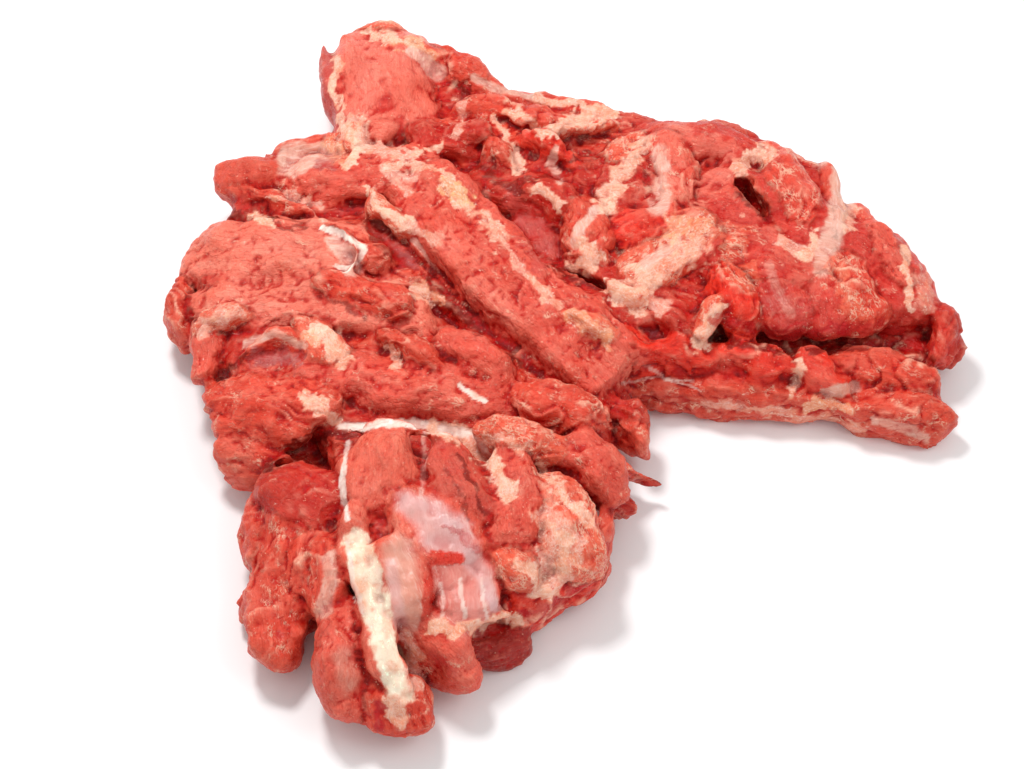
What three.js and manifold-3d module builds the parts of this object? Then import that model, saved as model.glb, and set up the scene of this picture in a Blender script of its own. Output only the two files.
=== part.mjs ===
// A whole boneless neck of beef, raw, opened out and lying on a table with its cut side up.
// It is one piece of meat, built the way a butcher reads it: muscles, folds, fat and sinews, each a ball
// drawn out along its own short path, grown into one solid, with the pockets cut out and the underside flat.
// Millimetres, +Z up, the origin on the table under the middle of the piece.

import * as THREE from "three";
import { mergeVertices } from "three/addons/utils/BufferGeometryUtils.js";
import Module from "manifold-3d";

// Places are read on a picture plane that stands across the sight line of an eye looking down on the table:
// how far across, how far up, and then the height above the table.
const eye = { distance: 1600, elevation: THREE.MathUtils.degToRad(55) };
const pictureCentre = { x: -31.1, y: -5.9 }; // where the picture plane crosses the table, from the origin

const facet = { length: 18, around: [6, 12], along: [4, 8] }; // the side of a facet, and how many there are
// The unevenness of cut meat, as waves that shrink and turn from one to the next.
const crag = { height: 1.6, wave: 52, shrink: 0.72, waves: 5, turn: 2.4, dip: 0.6 };
const leastWidth = 0.75; // of the width seen, however deep a body is
const table = { size: 1000 }; // wider than the meat
const beef = { colour: 0xc9503f, roughness: 0.42 };

// The meat under the surface, as slabs: the height of each, and its outline at half that height.
const slabs = {
  body: {
    height: 46,
    outline: [
      [-84, 208], [-58, 204], [-42, 190], [-18, 178], [20, 170], [60, 160], [100, 158], [136, 150],
      [172, 142], [194, 122], [214, 98], [238, 76], [252, 56], [250, 42], [200, 38], [150, 38], [112, 22],
      [74, 4],
      [62, -22], [62, -44], [56, -62], [46, -84], [42, -104], [30, -120], [2, -132], [-28, -144], [-56, -150],
      [-80, -156], [-104, -140], [-108, -100], [-110, -60], [-118, -38], [-160, -26], [-172, -10], [-182, 10],
      [-192, 34], [-192, 60], [-184, 88], [-174, 104], [-174, 122], [-150, 130], [-122, 142], [-106, 152],
      [-106, 176], [-108, 196],
    ],
  },
  tail: {
    height: 24,
    outline: [
      [58, 14], [150, 34], [256, 34], [264, -2], [268, -20], [244, -30], [204, -20], [150, -11], [100, -6],
      [64, -6],
    ],
  },
  flap: {
    height: 26,
    outline: [
      [-168, -28], [-116, -28], [-108, -90], [-112, -146], [-128, -152], [-144, -164], [-154, -140],
      [-156, -110], [-155, -70],
    ],
  },
  tip: {
    height: 28,
    outline: [
      [-108, -126], [-50, -126], [4, -136], [4, -154], [-26, -170], [-50, -178], [-58, -196], [-78, -204],
      [-92, -192], [-108, -200], [-114, -178],
    ],
  },
};
// How far their rounded edges reach in, and up as a share of the height, and the rows of facets on them.
const slabEdge = { inward: 9, share: 0.3, rows: 2 };

// From here to the pockets, one muscle a line: name, start, middle and end of its path as [across, up,
// height], its half-width at the start and at the end as seen, its half-depth, and its squareness, 2 for a
// round section and 4 for a slab.
const beds = [
  ["behind the ear", [-64, 150, 40], [0, 148, 46], [84, 142, 42], 16, 20, 10, 2.8],
  ["between the folds", [-28, 128, 40], [40, 118, 47], [112, 112, 44], 18, 26, 10, 2.8],
  ["under the strap", [-16, 66, 40], [50, 44, 46], [134, 56, 42], 20, 20, 10, 2.8],
  ["left of the strap", [-190, 58, 38], [-116, 70, 47], [-48, 84, 42], 24, 30, 10, 2.8],
  ["in front of it", [-150, 14, 38], [-60, 14, 46], [34, 4, 42], 14, 14, 10, 2.8],
  ["round the joint", [-100, -66, 40], [-40, -80, 48], [34, -92, 40], 34, 30, 10, 2.8],
];
const earEnd = [
  ["cut face", [-80, 214, 30], [-80, 186, 38], [-76, 140, 36], 34, 36, 20, 3.4],
  ["left rim", [-115, 206, 28], [-115, 186, 36], [-106, 154, 38], 6, 7, 16, 2.2],
  ["top knob", [-99, 213, 28], [-86, 219, 34], [-58, 213, 30], 7, 8, 13, 2.4],
  ["silver band", [-68, 210, 40], [-54, 205, 44], [-34, 190, 40], 7, 9, 14, 2.4],
  ["round lobe", [-90, 158, 50], [-80, 159, 54], [-70, 157, 50], 9, 9, 9, 2.2],
  ["hooked fat", [-103, 168, 52], [-98, 154, 54], [-104, 135, 50], 6, 5, 8, 2.2],
  ["web under the rim", [-111, 156, 46], [-108, 147, 50], [-110, 139, 46], 7, 6, 10, 2.2],
  ["inner shoulder", [-54, 202, 30], [-38, 194, 36], [-6, 176, 38], 10, 14, 19, 2.8],
];
const leftShoulder = [
  ["dome", [-184, 121, 28], [-170, 125, 34], [-136, 127, 36], 13, 14, 19, 2.6],
  ["ledge", [-148, 135, 30], [-126, 141, 36], [-94, 146, 38], 9, 12, 18, 2.6],
  ["ridge", [-188, 119, 34], [-160, 119, 48], [-122, 105, 50], 6, 7, 11, 2.2],
  ["grained plain", [-150, 124, 38], [-96, 124, 46], [-40, 132, 46], 14, 24, 17, 3.0],
  ["smooth slab", [-200, 75, 26], [-156, 78, 42], [-82, 76, 44], 25, 27, 20, 3.2],
  ["tendon strip", [-120, 101, 60], [-90, 98, 68], [-99, 70, 62], 3, 3, 5, 2.2],
  ["round muscle", [-106, 88, 54], [-90, 84, 58], [-74, 74, 52], 9, 10, 10, 2.4],
  ["worm of fat", [-90, 122, 60], [-88, 105, 66], [-60, 96, 60], 4, 5, 6, 2.2],
  ["torn flap", [-122, 62, 56], [-96, 60, 60], [-62, 42, 56], 8, 14, 9, 2.8],
];
const upperMiddle = [
  ["back rim", [-28, 178, 34], [16, 175, 38], [74, 161, 36], 7, 9, 14, 2.4],
  ["back lobes", [-36, 171, 46], [0, 167, 52], [38, 160, 48], 11, 11, 14, 2.6],
  ["near the ear", [-66, 152, 46], [-46, 152, 50], [-18, 144, 46], 12, 12, 13, 2.4],
  ["dark round lobe", [-42, 155, 52], [-28, 158, 58], [-14, 152, 54], 9, 9, 11, 2.2],
  ["short fold", [-14, 152, 56], [-6, 142, 60], [3, 129, 54], 7, 8, 10, 2.2],
  ["fibrous fold", [2, 152, 56], [22, 148, 64], [44, 131, 56], 9, 10, 11, 2.2],
  ["cream fat", [16, 156, 58], [38, 158, 63], [66, 165, 54], 5, 6, 8, 2.2],
  ["second fold", [0, 126, 52], [22, 118, 60], [40, 102, 54], 8, 11, 12, 2.4],
  ["fold behind", [38, 136, 52], [52, 130, 56], [60, 110, 50], 9, 9, 11, 2.6],
  ["band of fat", [82, 154, 54], [68, 141, 63], [56, 112, 58], 7, 9, 9, 2.2],
  ["hanging lobe", [42, 116, 52], [50, 98, 61], [54, 72, 50], 12, 13, 12, 2.4],
  ["dark fold", [60, 110, 52], [72, 119, 58], [90, 120, 52], 6, 7, 9, 2.2],
  ["marbled lobe", [92, 154, 46], [100, 134, 56], [102, 104, 50], 11, 14, 12, 2.6],
  ["lean behind the fat", [60, 92, 50], [80, 98, 54], [104, 100, 52], 12, 13, 12, 2.6],
  ["big fat band", [68, 62, 55], [96, 76, 65], [134, 102, 56], 9, 12, 10, 2.4],
  ["fat knot", [57, 57, 52], [72, 60, 62], [87, 50, 52], 9, 9, 11, 2.2],
  ["back dome", [74, 152, 38], [116, 148, 46], [158, 138, 44], 14, 18, 18, 2.8],
  ["purple lean", [2, 116, 40], [14, 92, 44], [34, 62, 42], 11, 12, 12, 2.6],
];
const strap = [
  ["strap", [-62, 128, 46], [-18, 72, 62], [66, 2, 42], 24, 22, 18, 3.4],
  ["fat along the strap", [-40, 122, 60], [-2, 98, 70], [24, 54, 64], 6, 6, 8, 2.2],
  ["orange fat", [28, 42, 62], [48, 36, 63], [66, 20, 52], 6, 7, 8, 2.2],
];
const rightLobe = [
  ["great lobe", [92, 110, 36], [176, 96, 46], [262, 48, 28], 46, 26, 18, 3.2],
  ["lobe by the hole", [154, 150, 42], [173, 128, 54], [184, 88, 52], 13, 17, 13, 2.8],
  ["pale band", [194, 136, 38], [210, 104, 50], [198, 60, 50], 9, 9, 12, 2.4],
  ["outer lean", [204, 112, 32], [226, 88, 40], [248, 48, 34], 13, 14, 17, 2.6],
  ["streaked muscle", [206, 84, 50], [214, 56, 52], [226, 26, 38], 12, 14, 13, 2.6],
  ["outer strip", [232, 92, 28], [250, 70, 34], [259, 34, 30], 8, 8, 15, 2.4],
  ["end roll", [264, 48, 24], [276, 30, 32], [262, 8, 20], 8, 10, 15, 2.4],
  ["purple membrane", [146, 84, 50], [168, 60, 56], [190, 28, 44], 20, 20, 13, 3.0],
  ["beside the pear", [132, 76, 50], [140, 54, 55], [146, 28, 44], 12, 13, 13, 2.6],
  ["red triangle", [100, 68, 48], [116, 74, 53], [134, 90, 52], 9, 9, 12, 2.4],
  ["pear of fat", [128, 52, 54], [123, 41, 61], [116, 25, 50], 6, 8, 9, 2.2],
  ["dark front", [82, 50, 46], [98, 42, 50], [116, 28, 42], 9, 10, 12, 2.4],
  ["step in front", [56, 26, 40], [90, 14, 36], [132, 8, 24], 16, 11, 20, 2.8],
  ["bright lumps", [122, 13, 24], [150, 8, 34], [186, 2, 28], 10, 11, 13, 2.4],
  ["red block", [180, 12, 28], [192, 6, 36], [208, -4, 26], 10, 11, 13, 2.6],
  ["under the edge", [196, 12, 24], [236, 8, 28], [268, -4, 20], 13, 12, 15, 2.8],
  ["tail", [56, -4, 16], [150, -8, 18], [272, -14, 16], 7, 14, 16, 2.8],
  ["end of the tail", [196, -14, 16], [240, -24, 18], [278, -22, 16], 10, 14, 17, 2.6],
];
const leftSide = [
  ["outer edge", [-200, 66, 24], [-214, 42, 28], [-202, 20, 22], 8, 8, 16, 2.4],
  ["second slab", [-206, 44, 26], [-140, 50, 44], [-46, 36, 44], 17, 22, 18, 3.0],
  ["pale fat", [-200, 22, 46], [-194, 42, 58], [-164, 45, 56], 5, 6, 8, 2.2],
  ["folded end", [-194, 36, 38], [-188, 20, 42], [-192, -4, 28], 10, 11, 17, 2.6],
  ["arch", [-170, 14, 50], [-150, 40, 60], [-124, 22, 54], 4, 5, 7, 2.2],
  ["fat patch", [-128, 42, 54], [-118, 26, 59], [-108, 6, 54], 9, 10, 9, 2.4],
  ["third slab", [-172, 0, 38], [-104, 6, 46], [4, -14, 44], 17, 20, 16, 3.0],
  ["crinkled flap", [-189, -8, 32], [-158, -14, 46], [-104, -12, 48], 15, 20, 15, 2.8],
  ["crinkle under it", [-186, -24, 30], [-162, -30, 44], [-122, -31, 46], 11, 11, 13, 2.4],
  ["lowest crinkle", [-180, -44, 22], [-166, -50, 32], [-146, -50, 30], 11, 12, 16, 2.4],
  ["torn lobes", [-84, 30, 54], [-66, 24, 61], [-44, 6, 55], 8, 10, 9, 2.4],
  ["lip of the strap", [-46, 30, 50], [-24, 16, 57], [4, -4, 48], 11, 12, 12, 2.6],
];
const jointEnd = [
  ["first head", [-82, -30, 52], [-84, -54, 60], [-80, -80, 54], 22, 22, 16, 2.6],
  ["second head", [-42, -34, 56], [-38, -60, 63], [-14, -98, 55], 14, 17, 14, 2.6],
  ["white membrane", [-106, -27, 56], [-46, -22, 66], [-8, -58, 60], 3, 5, 6, 2.2],
  ["webbed muscle", [-24, -30, 54], [4, -32, 60], [40, -45, 50], 11, 12, 12, 2.6],
  ["holed lumps", [4, -8, 48], [30, -14, 55], [58, -22, 44], 12, 12, 12, 2.6],
  ["dark lump", [48, -8, 34], [66, -18, 34], [84, -26, 22], 10, 9, 15, 2.4],
  ["big lump", [30, -34, 46], [50, -54, 48], [66, -74, 28], 17, 16, 18, 2.8],
  ["edge lumps", [64, -26, 28], [85, -34, 24], [80, -48, 18], 8, 8, 15, 2.4],
  ["spike", [58, -52, 26], [76, -57, 20], [91, -66, 10], 9, 3, 11, 2.2],
  ["low lump", [54, -70, 20], [66, -77, 18], [73, -84, 10], 8, 5, 12, 2.2],
  ["lean column", [-2, -42, 54], [0, -80, 59], [2, -112, 50], 15, 17, 14, 2.8],
  ["fat field", [23, -60, 50], [38, -94, 52], [42, -124, 34], 15, 18, 17, 2.8],
  ["right rim", [60, -76, 24], [55, -102, 28], [40, -128, 20], 7, 9, 16, 2.4],
  ["fat lump", [-7, -106, 54], [6, -114, 60], [13, -131, 46], 10, 11, 11, 2.2],
  ["crimson edge", [-6, -142, 26], [24, -140, 28], [50, -110, 22], 12, 12, 18, 2.6],
  ["pearl", [-54, -66, 54], [-48, -96, 64], [-36, -130, 50], 30, 26, 16, 2.8],
  ["window", [-30, -112, 46], [-28, -130, 46], [-26, -149, 38], 22, 23, 16, 3.4],
  ["pale rim", [-54, -151, 42], [-26, -153, 46], [4, -144, 40], 4, 4, 7, 2.2],
  ["dark underside", [-36, -164, 14], [-8, -172, 17], [13, -158, 12], 11, 11, 15, 2.4],
  ["knob", [-82, -98, 58], [-70, -122, 66], [-60, -150, 52], 15, 14, 13, 2.8],
  ["tendon", [-105, -90, 60], [-92, -140, 70], [-66, -194, 42], 5, 8, 9, 2.4],
  ["shin dome", [-104, -136, 38], [-108, -178, 36], [-104, -213, 14], 16, 17, 20, 2.8],
  ["right lobe", [-64, -146, 42], [-42, -164, 36], [-26, -189, 12], 18, 13, 18, 2.8],
  ["tip", [-76, -184, 32], [-70, -202, 26], [-66, -217, 10], 20, 18, 16, 2.6],
  ["sinew lump", [-113, -98, 42], [-113, -125, 46], [-114, -148, 32], 8, 9, 15, 2.4],
];
const hangingFlap = [
  ["striated flap", [-156, -58, 28], [-126, -64, 34], [-106, -92, 36], 16, 22, 15, 2.8],
  ["flap lumps", [-156, -66, 24], [-160, -94, 30], [-154, -120, 24], 11, 12, 15, 2.4],
  ["inner lumps", [-132, -92, 34], [-132, -112, 38], [-133, -138, 30], 11, 11, 14, 2.4],
  ["flap block", [-150, -112, 24], [-144, -146, 30], [-144, -180, 10], 18, 18, 17, 2.8],
  ["side tooth", [-160, -128, 18], [-166, -138, 16], [-161, -146, 14], 7, 6, 12, 2.2],
];
// The pockets and gaps, cut by the same bodies.
const pockets = [
  ["hole in the right lobe", [140, 131, 64], [150, 118, 52], [167, 96, 64], 6, 4, 22, 2.2],
  ["gap under the right lobe", [134, 25, 40], [200, 22, 38], [272, 22, 32], 3, 3, 12, 2.4],
  ["gap beside the strap", [-54, 70, 62], [-40, 52, 56], [-14, 30, 60], 4, 6, 22, 2.2],
  ["triangle under the strap", [-2, 28, 58], [4, 14, 48], [34, 2, 54], 3, 3, 18, 2.2],
  ["gap under the left flap", [-154, -56, 44], [-130, -44, 46], [-92, -30, 58], 4, 4, 16, 2.2],
  ["gap in the valley", [24, 74, 60], [42, 68, 50], [62, 58, 58], 4, 5, 18, 2.2],
  ["gap under the ridge", [-186, 108, 48], [-168, 104, 44], [-128, 99, 56], 4, 3, 14, 2.2],
];

// The point at this height on the sight line through a point of the picture plane.
function seen([across, up, height]) {
  const rise = Math.sin(eye.elevation);
  const run = Math.cos(eye.elevation);
  const along = (eye.distance * rise - height) / (eye.distance * rise - up * run);
  return new THREE.Vector3(
    pictureCentre.x + along * across,
    pictureCentre.y - eye.distance * run + along * (up * rise + eye.distance * run),
    height,
  );
}

// A sum of slanted sine waves, each shorter and lower than the one before.
function unevenness(point) {
  let sum = 0;
  let height = crag.height;
  let turns = (2 * Math.PI) / crag.wave;
  for (let wave = 0; wave < crag.waves; wave += 1) {
    const heading = 1 + crag.turn * wave;
    const dip = crag.dip * Math.cos(3 * heading);
    const direction = new THREE.Vector3(Math.cos(heading), Math.sin(heading), dip);
    sum += height * Math.sin(turns * point.dot(direction) + 5 * heading);
    height *= crag.shrink;
    turns /= crag.shrink;
  }
  return sum;
}

// The half-width that gives a body of this half-depth the half-width seen, side being level and across it.
function widthFor(widthSeen, depth, side) {
  const foreshortened = Math.hypot(side.x, side.y * Math.sin(eye.elevation));
  const fromDepth = depth * Math.cos(eye.elevation) * Math.abs(side.y);
  return Math.sqrt(Math.max(widthSeen ** 2 - fromDepth ** 2, (leastWidth * widthSeen) ** 2)) / foreshortened;
}

const squared = (value, square) => Math.sign(value) * Math.abs(value) ** (2 / square);
const between = (value, [least, most]) => Math.round(Math.min(Math.max(value, least), most));

// A ball drawn out along its path: its poles are the path's ends, its section a rounded rectangle.
function body([, from, by, to, widthAtStart, widthAtEnd, depth, square]) {
  const path = new THREE.QuadraticBezierCurve3(seen(from), seen(by), seen(to));
  const girth = Math.PI * (0.5 * (widthAtStart + widthAtEnd) + depth);
  const around = between(girth / facet.length, facet.around);
  const along = between(path.getLength() / facet.length + 1, facet.along);
  const ball = new THREE.SphereGeometry(1, around, along);
  ball.deleteAttribute("normal");
  ball.deleteAttribute("uv");
  const solid = mergeVertices(ball);
  const places = solid.getAttribute("position");
  for (let place = 0; place < places.count; place += 1) {
    const onBall = new THREE.Vector3().fromBufferAttribute(places, place);
    const reach = Math.hypot(onBall.x, onBall.z);
    const turn = Math.atan2(onBall.z, onBall.x);
    const share = 0.5 + 0.5 * squared(onBall.y, square);
    const swell = squared(reach, square);
    const centre = path.getPoint(share);
    const ahead = path.getTangent(share);
    const side = new THREE.Vector3(ahead.y, -ahead.x, 0).normalize();
    const top = new THREE.Vector3().crossVectors(side, ahead);
    const width = widthFor(THREE.MathUtils.lerp(widthAtStart, widthAtEnd, share), depth, side);
    const outward = side.multiplyScalar(width * swell * squared(Math.cos(turn), square));
    outward.addScaledVector(top, depth * swell * squared(Math.sin(turn), square));
    const point = centre.clone().add(outward);
    if (outward.length() > 0) {
      point.addScaledVector(outward.normalize(), swell * unevenness(point));
    }
    places.setXYZ(place, point.x, point.y, point.z);
  }
  return solid;
}

const wasm = await Module();
wasm.setup();

function toSolid(geometry) {
  const vertProperties = Float32Array.from(geometry.getAttribute("position").array);
  const triVerts = Uint32Array.from(geometry.getIndex().array);
  return new wasm.Manifold(new wasm.Mesh({ numProp: 3, vertProperties, triVerts }));
}

// A slab of meat on the table, its upper and lower edges rounded.
function slab({ height, outline }) {
  const corners = outline.map(([across, up]) => seen([across, up, height / 2]));
  const shape = new THREE.Shape(corners.map(({ x, y }) => new THREE.Vector2(x, y)));
  const edge = slabEdge.share * height;
  const solid = new THREE.ExtrudeGeometry(shape, {
    depth: height - 2 * edge,
    bevelThickness: edge,
    bevelSize: slabEdge.inward,
    bevelOffset: -slabEdge.inward,
    bevelSegments: slabEdge.rows,
    steps: 1,
  });
  solid.translate(0, 0, edge);
  solid.deleteAttribute("normal");
  solid.deleteAttribute("uv");
  return mergeVertices(solid);
}

function belowTheTable() {
  const box = new THREE.BoxGeometry(table.size, table.size, table.size);
  box.translate(0, 0, -table.size / 2);
  box.deleteAttribute("normal");
  box.deleteAttribute("uv");
  return toSolid(mergeVertices(box));
}

// The whole piece: every body joined, the pockets cut, the underside flat, and of what is left the one
// outer skin, so that a scrap is dropped and a sealed hollow filled.
function neck() {
  const muscles = [
    ...beds, ...earEnd, ...leftShoulder, ...upperMiddle, ...strap, ...rightLobe, ...leftSide, ...jointEnd,
    ...hangingFlap,
  ];
  const [first, ...others] = [...Object.values(slabs).map(slab), ...muscles.map(body)].map(toSolid);
  let meat = others.reduce((joined, solid) => joined.add(solid), first);
  for (const pocket of pockets) {
    meat = meat.subtract(toSolid(body(pocket)));
  }
  meat = meat.subtract(belowTheTable());
  const skins = meat.decompose().sort((one, other) => other.volume() - one.volume());
  const { vertProperties, triVerts } = skins[0].getMesh();
  const geometry = new THREE.BufferGeometry();
  geometry.setAttribute("position", new THREE.BufferAttribute(vertProperties, 3));
  geometry.setIndex(new THREE.BufferAttribute(triVerts, 1));
  geometry.computeVertexNormals();
  return geometry;
}

const rawMeat = new THREE.MeshStandardMaterial({
  color: beef.colour,
  roughness: beef.roughness,
  metalness: 0,
});
const beefNeck = new THREE.Mesh(neck(), rawMeat);
beefNeck.name = "beef_neck";

const part = new THREE.Group();
part.add(beefNeck);

export default part;
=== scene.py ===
# A raw boneless neck of beef, opened out with its cut side up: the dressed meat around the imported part.
# The lofted muscles are grown together, roughened, coloured vertex by vertex, and sliced into pieces.
import math

import bpy
import numpy as np
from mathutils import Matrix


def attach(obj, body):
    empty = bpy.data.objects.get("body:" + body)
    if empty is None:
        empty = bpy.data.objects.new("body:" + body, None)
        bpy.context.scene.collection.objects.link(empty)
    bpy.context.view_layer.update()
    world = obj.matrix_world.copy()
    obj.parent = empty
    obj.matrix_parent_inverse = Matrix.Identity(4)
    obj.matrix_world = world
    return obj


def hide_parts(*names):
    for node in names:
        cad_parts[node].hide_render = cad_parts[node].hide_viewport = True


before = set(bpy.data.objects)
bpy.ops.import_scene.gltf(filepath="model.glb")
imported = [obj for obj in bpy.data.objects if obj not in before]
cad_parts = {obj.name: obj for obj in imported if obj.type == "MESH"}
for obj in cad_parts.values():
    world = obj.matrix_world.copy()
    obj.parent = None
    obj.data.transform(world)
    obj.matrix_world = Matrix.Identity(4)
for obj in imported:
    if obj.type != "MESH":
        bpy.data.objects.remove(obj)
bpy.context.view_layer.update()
print("frame loaded")

mm = 0.001  # the lists below are in millimetres, Blender's meshes in metres

# Places are read on a picture plane across the sight line of an eye looking down on the table:
# how far across, how far up, and then the height above the table.
eye = {"distance": 1600, "elevation": math.radians(55), "centre": (-31.1, -5.9), "lens": 90, "sensor": 36}
rise, run = math.sin(eye["elevation"]), math.cos(eye["elevation"])
eyeAt = np.array([eye["centre"][0], eye["centre"][1] - eye["distance"] * run, eye["distance"] * rise])
sight = np.array([0, run, -rise])

# how the solids under the skin are made: sizes in millimetres, rounds of evening out, and shares
shapes = {
    "loftStep": 2.2,  # between the points of a muscle's grid
    "cragHeight": 1.6,  # how far a muscle's surface wanders,
    "cragWave": 52,  # over its longest wave,
    "cragWaves": 5,  # with this many waves
    "cragShrink": 0.72,  # each this much of the one before
    "leastWidth": 0.75,  # of a half-width, kept where the depth adds to what the eye sees of it
    "slabStep": 3,  # between the points of a slab's outline
    "slabEvening": 14,  # rounds over that outline
    "slabInward": 9,  # how far a slab draws in at its top and bottom,
    "slabShare": 0.3,  # over this share of its height
    "coarseVoxel": 2.2,  # for growing the solids together
    "voxel": 1.25,  # for the skin
    "blend": 6,  # rounds over the joins
    "smooth": 1,  # and over the skin
    "foot": (2, 14),  # the heights between which the wandering of the whole sets in
    "wander": ((4.0, 42, 21), (2.2, 17, 24)),  # how far it goes, its wave and its first seed
    "flatBelow": 1.5,  # what is lower lies on the table
    "underside": 1.2,  # and in the finished skin
}
# the flat layers under the muscles: how high, and the outline on the picture plane
slabs = {
    "body": {
        "height": 46,
        "outline": [
            [-84, 208], [-58, 204], [-42, 190], [-18, 178], [20, 170], [60, 160], [100, 158], [136, 150],
            [172, 142], [194, 122], [214, 98], [238, 76], [252, 56], [250, 42], [200, 38], [150, 38],
            [112, 22], [74, 4], [62, -22], [62, -44], [56, -62], [46, -84], [42, -104], [30, -120],
            [2, -132], [-28, -144], [-56, -150], [-80, -156], [-104, -140], [-108, -100], [-110, -60],
            [-118, -38], [-160, -26], [-172, -10], [-182, 10], [-192, 34], [-192, 60], [-184, 88],
            [-174, 104], [-174, 122], [-150, 130], [-122, 142], [-106, 152], [-106, 176], [-108, 196],
        ],
    },
    "tail": {
        "height": 24,
        "outline": [
            [58, 14], [150, 34], [256, 34], [264, -2], [268, -20], [244, -30], [204, -20], [150, -11],
            [100, -6], [64, -6],
        ],
    },
    "flap": {
        "height": 26,
        "outline": [
            [-168, -28], [-116, -28], [-108, -90], [-112, -146], [-128, -152], [-144, -164], [-154, -140],
            [-156, -110], [-155, -70],
        ],
    },
    "tip": {
        "height": 28,
        "outline": [
            [-108, -126], [-50, -126], [4, -136], [4, -154], [-26, -170], [-50, -178], [-58, -196],
            [-78, -204], [-92, -192], [-108, -200], [-114, -178],
        ],
    },
}
# the muscles, part by part: the name, the finish, three places (across, up, height) of the curve that the
# muscle follows, its half-width at the start and at the end, its half-depth, and how square it is across
beds = [
    ["behind the ear", "lean", [-64, 150, 40], [0, 148, 46], [84, 142, 42], 16, 20, 10, 2.8],
    ["between the folds", "deep", [-28, 128, 44], [40, 118, 54], [112, 112, 50], 20, 30, 14, 3.0],
    ["under the strap", "deep", [-16, 70, 46], [50, 46, 50], [134, 56, 42], 20, 20, 12, 2.8],
    ["left of the strap", "lean", [-190, 58, 38], [-116, 70, 47], [-48, 84, 42], 24, 30, 10, 2.8],
    ["in front of it", "lean", [-150, 14, 38], [-60, 14, 46], [34, 4, 42], 14, 14, 10, 2.8],
    ["round the joint", "deep", [-108, -74, 44], [-50, -88, 52], [34, -94, 44], 34, 32, 14, 3.0],
]
earEnd = [
    ["cut face", "cut", [-80, 214, 30], [-80, 186, 38], [-76, 140, 36], 34, 36, 20, 3.4],
    ["left rim", "purple", [-115, 206, 28], [-115, 186, 36], [-106, 154, 38], 6, 7, 16, 2.2],
    ["top knob", "webbed", [-99, 213, 28], [-86, 219, 34], [-58, 213, 30], 7, 8, 13, 2.4],
    ["silver band", "lean", [-68, 210, 40], [-54, 205, 44], [-34, 190, 40], 7, 9, 14, 2.4],
    ["round lobe", "cut", [-90, 158, 50], [-80, 159, 54], [-70, 157, 50], 9, 9, 9, 2.2],
    ["hooked fat", "webbed", [-103, 168, 52], [-98, 154, 54], [-104, 135, 50], 6, 5, 8, 2.2],
    ["web under the rim", "webbed", [-111, 156, 46], [-108, 147, 50], [-110, 139, 46], 7, 6, 10, 2.2],
    ["inner shoulder", "lean", [-54, 202, 30], [-38, 194, 36], [-6, 176, 38], 10, 14, 19, 2.8],
]
leftShoulder = [
    ["dome", "smooth", [-184, 121, 28], [-170, 125, 34], [-136, 127, 36], 13, 14, 19, 2.6],
    ["ledge", "smooth", [-148, 135, 30], [-126, 141, 36], [-94, 146, 38], 9, 12, 18, 2.6],
    ["ridge", "lean", [-188, 119, 34], [-160, 119, 48], [-122, 105, 50], 6, 7, 11, 2.2],
    ["grained plain", "grained", [-150, 124, 38], [-96, 124, 46], [-40, 132, 46], 14, 24, 17, 3.0],
    ["smooth slab", "pale", [-200, 75, 26], [-156, 78, 42], [-82, 76, 44], 25, 27, 20, 3.2],
    ["tendon strip", "smooth", [-120, 101, 60], [-90, 98, 68], [-99, 70, 62], 3, 3, 5, 2.2],
    ["round muscle", "lean", [-106, 88, 54], [-90, 84, 58], [-74, 74, 52], 9, 10, 10, 2.4],
    ["worm of fat", "webbed", [-90, 122, 60], [-88, 105, 66], [-60, 96, 60], 4, 5, 6, 2.2],
    ["torn flap", "lean", [-122, 62, 56], [-96, 60, 60], [-62, 42, 56], 8, 14, 9, 2.8],
]
upperMiddle = [
    ["back rim", "lean", [-28, 178, 34], [16, 175, 38], [74, 161, 36], 7, 9, 14, 2.4],
    ["back lobes", "lean", [-36, 171, 46], [0, 167, 52], [38, 160, 48], 11, 11, 14, 2.6],
    ["near the ear", "deep", [-66, 152, 46], [-46, 152, 50], [-18, 144, 46], 12, 12, 13, 2.4],
    ["dark round lobe", "deep", [-42, 155, 52], [-28, 158, 58], [-14, 152, 54], 9, 9, 11, 2.2],
    ["short fold", "lean", [-14, 152, 56], [-6, 142, 60], [3, 129, 54], 7, 8, 10, 2.2],
    ["fibrous fold", "bright", [2, 152, 56], [22, 148, 64], [44, 131, 56], 9, 10, 11, 2.2],
    ["cream fat", "webbed", [16, 156, 58], [38, 158, 63], [66, 165, 54], 5, 6, 8, 2.2],
    ["second fold", "deep", [0, 126, 52], [22, 118, 60], [40, 102, 55], 10, 14, 13, 2.6],
    ["fold behind", "lean", [38, 136, 52], [52, 130, 56], [60, 110, 50], 9, 9, 11, 2.6],
    ["band of fat", "webbed", [82, 154, 50], [68, 141, 57], [56, 112, 54], 10, 14, 9, 3.2],
    ["hanging lobe", "lean", [42, 116, 53], [49, 98, 61], [54, 72, 52], 14, 17, 14, 2.6],
    ["dark fold", "bright", [60, 110, 52], [72, 119, 58], [90, 120, 52], 6, 7, 9, 2.2],
    ["marbled lobe", "marbled", [92, 154, 46], [101, 134, 56], [102, 104, 52], 14, 17, 14, 2.8],
    ["lean behind the fat", "bright", [58, 92, 53], [80, 98, 57], [106, 100, 54], 15, 17, 14, 2.8],
    ["big fat band", "webbed", [68, 62, 50], [96, 76, 58], [134, 102, 52], 14, 18, 10, 3.6],
    ["fat knot", "webbed", [57, 57, 52], [72, 60, 62], [87, 50, 52], 9, 9, 11, 2.2],
    ["back dome", "glossy", [74, 152, 38], [116, 148, 46], [158, 138, 44], 14, 18, 18, 2.8],
    ["purple lean", "purple", [2, 116, 40], [14, 92, 44], [34, 62, 42], 11, 12, 12, 2.6],
]
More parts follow.
